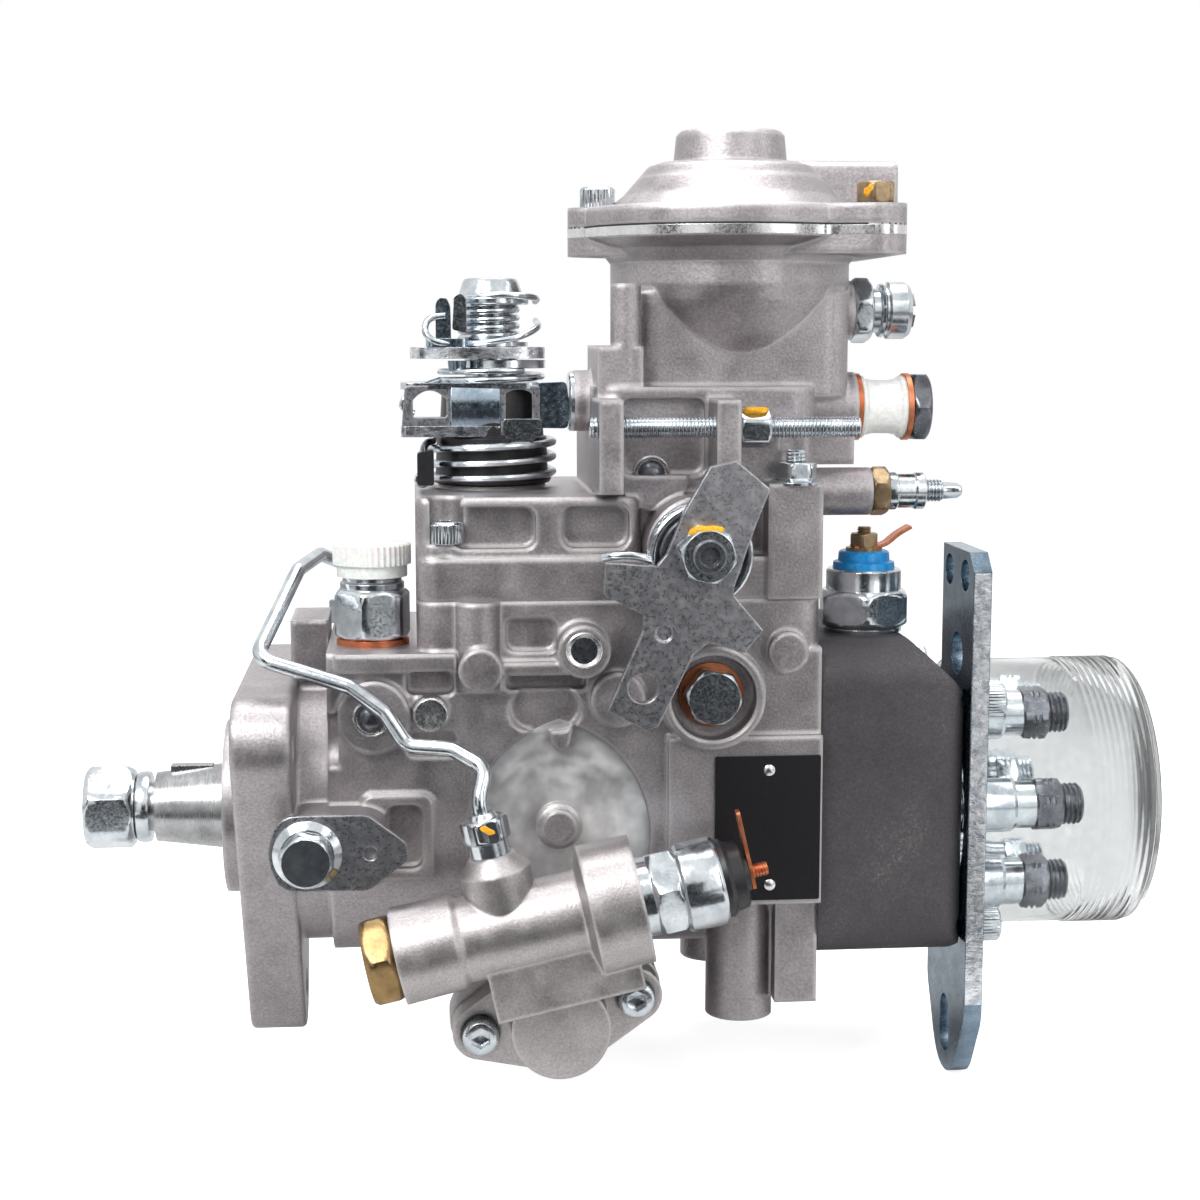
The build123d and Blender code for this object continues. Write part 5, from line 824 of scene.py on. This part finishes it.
def make_solenoid():
    """The shut-off solenoid: case, blue insulator in steps, nut on its stud, and the strip that carries its
    wire."""
    x, y = SOLENOID_X, SOLENOID_Y
    flange = turned([(41.6, 0.0), (41.6, 9.0), (51.5, 9.0), (51.5, 11.0), (52.6, 11.2), (53.2, 10.6),
                     (53.2, 0.0)], 56)
    body = hexagon(24.0, 53.0, 63.4, chamfer=1.9, turn=0.42)
    band = turned([(62.6, 0.0), (62.6, 11.0), (63.6, 10.7), (69.0, 10.7), (69.5, 10.2), (69.5, 0.0)], 64)
    on_pump("solenoid_case", put_all((flange, body, band), "z", x, y, 0), "zinc", "shutoff_solenoid")
    tiers = turned([(69.4, 0.0), (69.4, 8.9), (71.4, 8.7), (71.8, 7.4), (74.2, 7.2), (74.6, 6.7),
                    (74.6, 0.0)], 64)
    on_pump("solenoid_insulator", put(tiers, "z", x, y, 0), "blue_plastic",
            "shutoff_terminal")
    nut = hexagon(7.4, 75.4, 79.6, chamfer=0.6, turn=0.2)
    seat = turned([(74.5, 0.0), (74.5, 5.2), (75.5, 5.2), (75.5, 0.0)], 40)
    stud = threaded(75.0, 81.4, 2.1, 0.8, 0.4, 24)
    on_pump("solenoid_nut", put_all((nut, seat, stud), "z", x, y, 0), "brassy", "shutoff_terminal")
    run = bend([(174.6, -15.0, 75.6), (181.0, -15.0, 75.7), (184.2, -15.0, 76.4), (187.2, -15.0, 79.2),
                (191.2, -15.0, 81.4)])
    on_pump("solenoid_tab", swept(run, strip_section(6.3, 0.9), up=(0, 0, 1)), "copper",
            "shutoff_terminal")


# Cold start advance group on its sloping barrel

def make_barrel_fittings():
    """What is turned round the sloping barrel: the brass plug at its foot, and the advance solenoid's neck,
    hexagon, case, black cap and terminal at its head."""
    plug = hexagon(22.0, -8.2, 0.0, chamfer=2.0, turn=0.3)
    shank = turned([(-0.4, 0.0), (-0.4, 9.6), (3.0, 9.6), (3.0, 0.0)], 48)
    on_pump("brass_hexagon", put_all((plug, shank), "barrel", *BARREL), "brass", "brass_plug")
    coil_body = turned([(76.8, 0.0), (76.8, 11.2), (77.6, 11.9), (78.8, 12.0), (86.6, 12.0), (87.4, 11.6),
                        (88.0, 10.9), (88.0, 0.0)], 72)
    neck = turned([(60.0, 0.0), (60.0, 6.2), (66.0, 6.2), (66.0, 10.5), (69.4, 10.5), (69.4, 0.0)], 64)
    nut = hexagon(21.4, 69.0, 77.2, chamfer=1.8, turn=0.25)
    on_pump("advance_case", put_all((neck, nut, coil_body), "barrel", *BARREL), "zinc",
            "advance_solenoid")
    cap = turned([(87.8, 0.0), (87.8, 10.4), (89.4, 10.6), (90.6, 9.4), (93.6, 9.0), (94.2, 8.2),
                  (94.2, 5.2), (95.4, 4.8), (95.4, 0.0)], 56)
    on_pump("advance_plug", put(cap, "barrel", *BARREL), "black_plastic",
            "advance_solenoid")
    stud = threaded(95.0, 100.8, 2.0, 0.8, 0.35, 24)
    clip = plate(soft([(-2.6, -4.4), (2.6, -4.4), (3.4, 1.0), (2.0, 6.0), (1.6, 17.4), (-1.6, 17.0),
                       (-2.2, 6.0), (-3.6, 1.0)], 1.0), 0, 95.6, 96.6)
    on_pump("advance_terminal", put_all((stud, clip), "barrel", *BARREL), "copper",
            "advance_solenoid")


def make_union():
    """The union nut of the fuel pipe over the thread of the branch, with the fitter's paint."""
    c, s = cos(BARREL_TILT), sin(BARREL_TILT)
    axis = TURNS["z"] @ TURNS["barrel"]
    base = np.array(BARREL) + np.array([UNION_ALONG * c, 0, UNION_ALONG * s])
    nut = hexagon(11.0, 25.2, 31.2, bore=2.2, chamfer=0.9, turn=0.2)
    collar = turned([(31.0, 2.2), (31.0, 4.0), (32.6, 3.2), (32.6, 2.2)], 32, closed=True)
    thread = threaded(20.4, 25.6, 4.6, 1.0, 0.5, 24)
    shapes = [(np.asarray(points) @ axis + base, faces) for points, faces in (nut, thread, collar)]
    on_pump("union_nut", shapes, "zinc")
    spot = np.array([0.0, -4.4, 29.0]) @ TURNS["barrel"] + base
    on_pump("union_paint", blob(spot, (3.4, 1.5, 1.6)), "yellow_paint")


# Outlets, bracket and the clear cap

def outlet_places():
    """The valves' places (y, z) on their ring: r cos a, r sin a, with a from 176 degrees in steps of 60."""
    turns = [radians(180 - OUTLET_TURN + 60 * n) for n in range(6)]
    return [(OUTLET_RING_R * cos(a), OUTLET_RING_R * sin(a)) for a in turns]


def notched(flats, x0, x1, bore, turn):
    """A hexagon whose corners carry two turned grooves, so that each corner shows small steps."""
    h = (x1 - x0) / 2
    grooves = [(h - 1.4, 1.16), (h - 1.2, 1.06), (h - 0.5, 1.06), (h - 0.3, 1.16),
               (h + 0.3, 1.16), (h + 0.5, 1.06), (h + 1.2, 1.06), (h + 1.4, 1.16)]
    steps = [(0.0, 0.98), (0.5, 1.10)] + grooves + [(2 * h - 0.8, 1.12), (2 * h, HEX_FOOT)]
    rows = [(x0, bore)] + [(x0 + at, flats / 2 * r) for at, r in steps] + [(x1, bore)]
    return turned(rows, 72, flats, turn, closed=True)


def make_outlets():
    """Six valve holders on their ring, each with a stepped hexagon and a threaded end."""
    holder = turned([(191.4, 0.0), (191.4, 7.0), (203.2, 7.0), (203.2, 8.2), (204.2, 8.4), (205.4, 7.8),
                     (218.0, 7.6), (219.2, 6.7), (224.9, 6.7), (224.9, 0.0)], 48)
    thread = threaded(232.0, 239.1, 6.0, 1.5, 0.8, 40)
    for n, (y, z) in enumerate(outlet_places()):
        node = "delivery_valve_%d" % (n + 1)
        finish = "dark_steel" if n in DARK_OUTLETS else "zinc"
        on_pump("outlet_holder_%d" % (n + 1), put(holder, "x", 0, y, z), "zinc", node)
        steps = notched(14.0, 224.8, 232.8, 2.0, 0.2 + 0.5 * n)
        on_pump("outlet_hexagon_%d" % (n + 1), put_all((steps, thread), "x", 0, y, z), finish, node)


def make_clear_cap():
    """A thin clear cup over the outlets; moulding leaves fine rings round it near its closed end."""
    rings = []
    for x in np.arange(*CUP_RINGS, CUP_RING_STEP):
        rings += [(x, 39.65), (x + 0.35, 39.95), (x + 0.7, 39.95), (x + 1.05, 39.65)]
    lip = [(208.7, 38.6), (208.7, 39.9), (211.4, 39.9), (212.0, 39.5), (239.0, 39.6)]
    end = [(259.2, 39.4), (260.4, 38.2), (260.5, 0.0)]
    inner = [(259.0, 0.0), (259.0, 37.4), (258.2, 38.2), (240.0, 38.3)]
    cup = turned(lip + rings + end + inner, 128, closed=True)
    make_piece("clear_cup", cup, "outlet_cap_body", "clear", "outlet_cap", sharp=50)


def make_bracket_edge():
    """The bracket's sheared edge towards the levers, torn into bright crystals."""
    strip = soft([(203.4, -53.0), (203.4, 70.6), (208.2, 70.6), (208.2, -53.0)], 0.4)
    on_pump("bracket_edge", plate(strip, 1, -41.68, -41.3), "sheared")


def make_lid_joint():
    """The machined rim below the lid and the dark joint line over it, drawn along rays from the bowl's axis:
    a circle, or farther out where the screw lugs reach past it."""
    middle, steps = (BOWL_X, 0), 192
    lugs = hull([(x, y, LID_LUG_R) for x, y in LID_SCREWS] + [(BOWL_X, 0, 30)])
    rim = np.maximum(LID_R, reach(lugs, middle, steps))
    bright = ring_plate(rim - 2, rim + 0.12, middle, 2, 163.1, LID_Z - 0.35, steps)
    on_pump("lid_rim", bright, "turned_aluminium")
    dark = ring_plate(rim - 2, rim + 0.02, middle, 2, LID_Z - 0.4, LID_Z + 0.15, steps)
    on_pump("lid_joint", dark, "rubber")


# Cap screws: round heads with knurled sides and a hexagon socket

def knurled_head(r, height, socket):
    """A socket head: its wall dips KNURLS times round, and its top opens in a hexagon pit."""
    sides = 4 * KNURLS
    wall = turned([(0.0, 0.0), (0.0, r - 0.3), (0.3, r), (height - 0.8, r), (height - 0.2, r - 0.6),
                   (height, r - 1.0), (height, socket * 0.62)], sides, ribs=(KNURLS, KNURL_DEPTH, r - 0.2))
    pit = turned([(height, socket * 0.62), (height - 0.2, socket * 0.56), (height - 3.2, socket * 0.56),
                  (height - 3.8, 0.0)], sides, socket)
    points = np.concatenate([wall[0][:-sides], pit[0]])
    return points, grid_faces(len(points) // sides, sides)


def make_screw_heads():
    """One knurled head at each cap screw's place; the lid's second screw is a painted hexagon instead."""
    head = knurled_head(SCREW_HEAD_R, SCREW_HEAD_HIGH, SOCKET_FLATS)
    lids = [(x, y, LID_SEAT_Z) for x, y in LID_SCREWS[:1] + LID_SCREWS[2:]]
    shapes = [put(head, "z", *place) for place in list(COVER_SCREWS) + lids]
    shapes += [put(head, "-y", x, COLD_FRONT_Y, z) for x, z in COLD_SCREWS]
    shapes += [put(head, "y", x, COLD_BACK_Y, z) for x, z in COLD_SCREWS]
    shapes += [put(head, "x", *place) for place in HEAD_SCREWS]
    on_pump("socket_heads", shapes, "zinc", "cap_screws")
    x, y = LID_SCREWS[1]
    nut = hexagon(10.0, LID_SEAT_Z, 177.4, chamfer=0.9, turn=0.2)
    on_pump("lid_hexagon", put(nut, "z", x, y, 0), "brassy", "cap_screws")
    on_pump("lid_paint", blob((x - 1.5, y - 3.6, 175.0), (2.6, 1.6, 2.0)), "yellow_paint")


def make_lock_bolt():
    """The flanged bolt of the shaft lock and its five-sided sheet with a hole near its point."""
    bolt = hexagon(13.0, 62.0, 69.6, chamfer=1.2, turn=0.3)
    flange = turned([(59.9, 0.0), (59.9, 9.2), (60.8, 9.2), (62.4, 7.2), (62.4, 0.0)], 48)
    shank = turned([(41.2, 0.0), (41.2, 4.0), (60.2, 4.0), (60.2, 0.0)], 24)
    on_pump("lock_bolt", put_all((bolt, flange, shank), "-y", LOCK_X, 0, 0), "zinc", "shaft_lock")
    sheet = soft([(9.7, -3.0), (9.7, 3.0), (13.0, 10.3), (36.0, 10.3), (46.3, 2.4), (46.3, -2.4),
                  (36.0, -10.3), (13.0, -10.3)], [4, 4, 4, 2, 1.5, 1.5, 2, 4])
    hole = (36.5, -0.2)
    on_pump("lock_sheet", ring_plate(1.8, reach(sheet, hole, 96), hole, 1, -59.8, -58.0), "zinc_sheet",
            "shaft_lock")


for build in (make_drive_end, make_cap_nut, make_throttle_springs, make_throttle_plates,
              make_throttle_bracket, make_spring_guide, make_stop_lever, make_speed_screw, make_idle_screw,
              make_side_plugs, make_side_plate, make_inlet, make_overflow, make_full_load, make_vent,
              make_solenoid, make_barrel_fittings, make_union, make_outlets, make_clear_cap,
              make_bracket_edge, make_lid_joint, make_screw_heads, make_lock_bolt):
    build()


# Better finishes for the parts that keep their own mesh

FINISH = {
    "cast": ("pump_housing", "governor_cover", "boost_lid", "timing_spring_cover"),
    "cast_smooth": ("cold_start_cover",),
    "turned_aluminium": ("timing_piston",),
    "zinc": ("fuel_pipe",),
    "bracket_blue": ("rear_bracket",),
    "zinc_sheet": ("stop_lever",),
    "dark_steel": ("head_centre_plug",),
    "steel": ("drive_shaft", "feed_pump_rotor", "governor_drive_gear", "cam_plate", "plunger",
              "governor_cage", "flyweight_1", "flyweight_2", "flyweight_3", "flyweight_4",
              "governor_sleeve", "governor_lever", "control_sleeve", "governor_pins",
              "roller_ring", "feed_pump_cam_ring", "feed_pump_cover_plate", "return_springs",
              "throttle_shaft", "governor_spring", "shutoff_armature", "boost_pin"),
    "head": ("distributor_head",),
    "brass": ("shaft_bush",),
    "copper": ("copper_washers",),
    "rubber": ("shaft_seal",),
}
for finish, nodes in FINISH.items():
    for node in nodes:
        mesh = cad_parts[node].data
        mesh.materials.clear()
        mesh.materials.append(MATERIALS[finish])


# Stage, light and camera

# The floor's half width and the camera's place in metres, and its angles in degrees
FLOOR_REACH = 3.0
CAMERA_PLACE, CAMERA_DOWN, CAMERA_ROUND, LENS_MM = (0.048647, -0.598343, 0.138099), 7.5, 5.2, 62.1
SQUARE = ((-1, -1), (1, -1), (1, 1), (-1, 1))


def make_floor():
    """A pale floor: it keeps the pump's shadow and is lifted to near white for the camera only."""
    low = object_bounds()[0][2]
    mesh = bpy.data.meshes.new("floor")
    mesh.from_pydata([(x * FLOOR_REACH, y * FLOOR_REACH, low) for x, y in SQUARE], [], [(0, 1, 2, 3)])
    floor = bpy.data.objects.new("floor", mesh)
    bpy.context.scene.collection.objects.link(floor)
    material, tree, shader = new_material("pale_floor", {"Base Color": rgba("#F6F6F6"), "Roughness": 0.9})
    ray = add_node(tree, "ShaderNodeLightPath")
    glow = add_node(tree, "ShaderNodeEmission", {"Color": (1, 1, 1, 1), "Strength": 0.8})
    lifted = add_node(tree, "ShaderNodeAddShader", None, {0: shader.outputs[0], 1: glow.outputs[0]})
    seen = add_node(tree, "ShaderNodeMixShader", None, {0: ray.outputs["Is Camera Ray"],
                                                        1: shader.outputs[0], 2: lifted.outputs[0]})
    tree.links.new(seen.outputs[0], tree.nodes["Material Output"].inputs["Surface"])
    mesh.materials.append(material)


def make_flag(name, place, aim, width, height):
    """A dark card that only mirrors see, so that plated parts show a dark side as they do in a studio. Its
    place and the point it faces, its width and its height are in millimetres."""
    mesh = bpy.data.meshes.new(name)
    w, h = width / 2 * MM, height / 2 * MM
    mesh.from_pydata([(x * w, y * h, 0) for x, y in SQUARE], [], [(0, 1, 2, 3)])
    card = bpy.data.objects.new(name, mesh)
    bpy.context.scene.collection.objects.link(card)
    card.location = Vector(place) * MM
    card.rotation_euler = (Vector(aim) - Vector(place)).to_track_quat("Z", "Y").to_euler()
    cloth = {"Base Color": rgba("#1E2024"), "Roughness": 1.0}
    mesh.materials.append(new_material(name + "_cloth", cloth)[0])
    card.visible_camera = card.visible_diffuse = card.visible_transmission = card.visible_shadow = False


def make_world():
    """Grey light from all round; white where the camera, a mirror or clear plastic looks at it."""
    world = bpy.data.worlds.new("studio")
    bpy.context.scene.world = world
    world.use_nodes = True
    tree = world.node_tree
    tree.nodes.clear()
    ray = add_node(tree, "ShaderNodeLightPath")
    clear = add_node(tree, "ShaderNodeMath", {"operation": "MAXIMUM"},
                     {0: ray.outputs["Is Camera Ray"], 1: ray.outputs["Is Transmission Ray"]})
    either = add_node(tree, "ShaderNodeMath", {"operation": "MAXIMUM"},
                      {0: clear.outputs[0], 1: ray.outputs["Is Glossy Ray"]})
    light = add_node(tree, "ShaderNodeBackground", {"Color": (1, 1, 1, 1), "Strength": 0.2})
    white = add_node(tree, "ShaderNodeBackground", {"Color": (1, 1, 1, 1), "Strength": 1.0})
    mixed = add_node(tree, "ShaderNodeMixShader", None, {0: either.outputs[0], 1: light.outputs[0],
                                                         2: white.outputs[0]})
    add_node(tree, "ShaderNodeOutputWorld", None, {"Surface": mixed.outputs[0]})


def add_lamp(name, place, aim, size, power):
    """A soft square lamp, with place and aim in millimetres and size in metres."""
    data = bpy.data.lights.new(name, "AREA")
    data.size, data.energy = size, power
    lamp = bpy.data.objects.new(name, data)
    bpy.context.scene.collection.objects.link(lamp)
    lamp.location = Vector(place) * MM
    lamp.rotation_euler = (Vector(aim) - Vector(place)).to_track_quat("-Z", "Y").to_euler()


def make_camera():
    """A long lens on the lever side, turned round from square and down by its two angles, for a square
    picture."""
    data = bpy.data.cameras.new("camera")
    data.lens, data.sensor_width, data.clip_start = LENS_MM, 36.0, 0.01
    camera = bpy.data.objects.new("camera", data)
    camera.location = CAMERA_PLACE
    camera.rotation_euler = (radians(90.0 - CAMERA_DOWN), 0.0, radians(-CAMERA_ROUND))
    bpy.context.scene.collection.objects.link(camera)
    bpy.context.scene.camera = camera


make_floor()
make_flag("flag_left", (-420, -420, 60), (60, 0, 40), 260, 700)
make_flag("flag_front", (60, -760, 110), (105, 0, 60), 420, 330)
make_flag("flag_low", (120, -620, -90), (120, 0, 20), 700, 120)
make_flag("flag_floor", (50, -400, -76), (50, -400, 100), 480, 500)
make_flag("flag_right", (560, -380, 120), (120, 0, 60), 200, 600)
make_world()
add_lamp("key_lamp", (-300, -520, 620), (90, 0, 60), 0.45, 6.5)
add_lamp("fill_lamp", (560, -420, 300), (110, 0, 40), 0.5, 1.8)
add_lamp("top_lamp", (140, 160, 760), (110, 0, 60), 0.5, 4.0)
make_camera()
bpy.context.scene.view_settings.view_transform = "Standard"
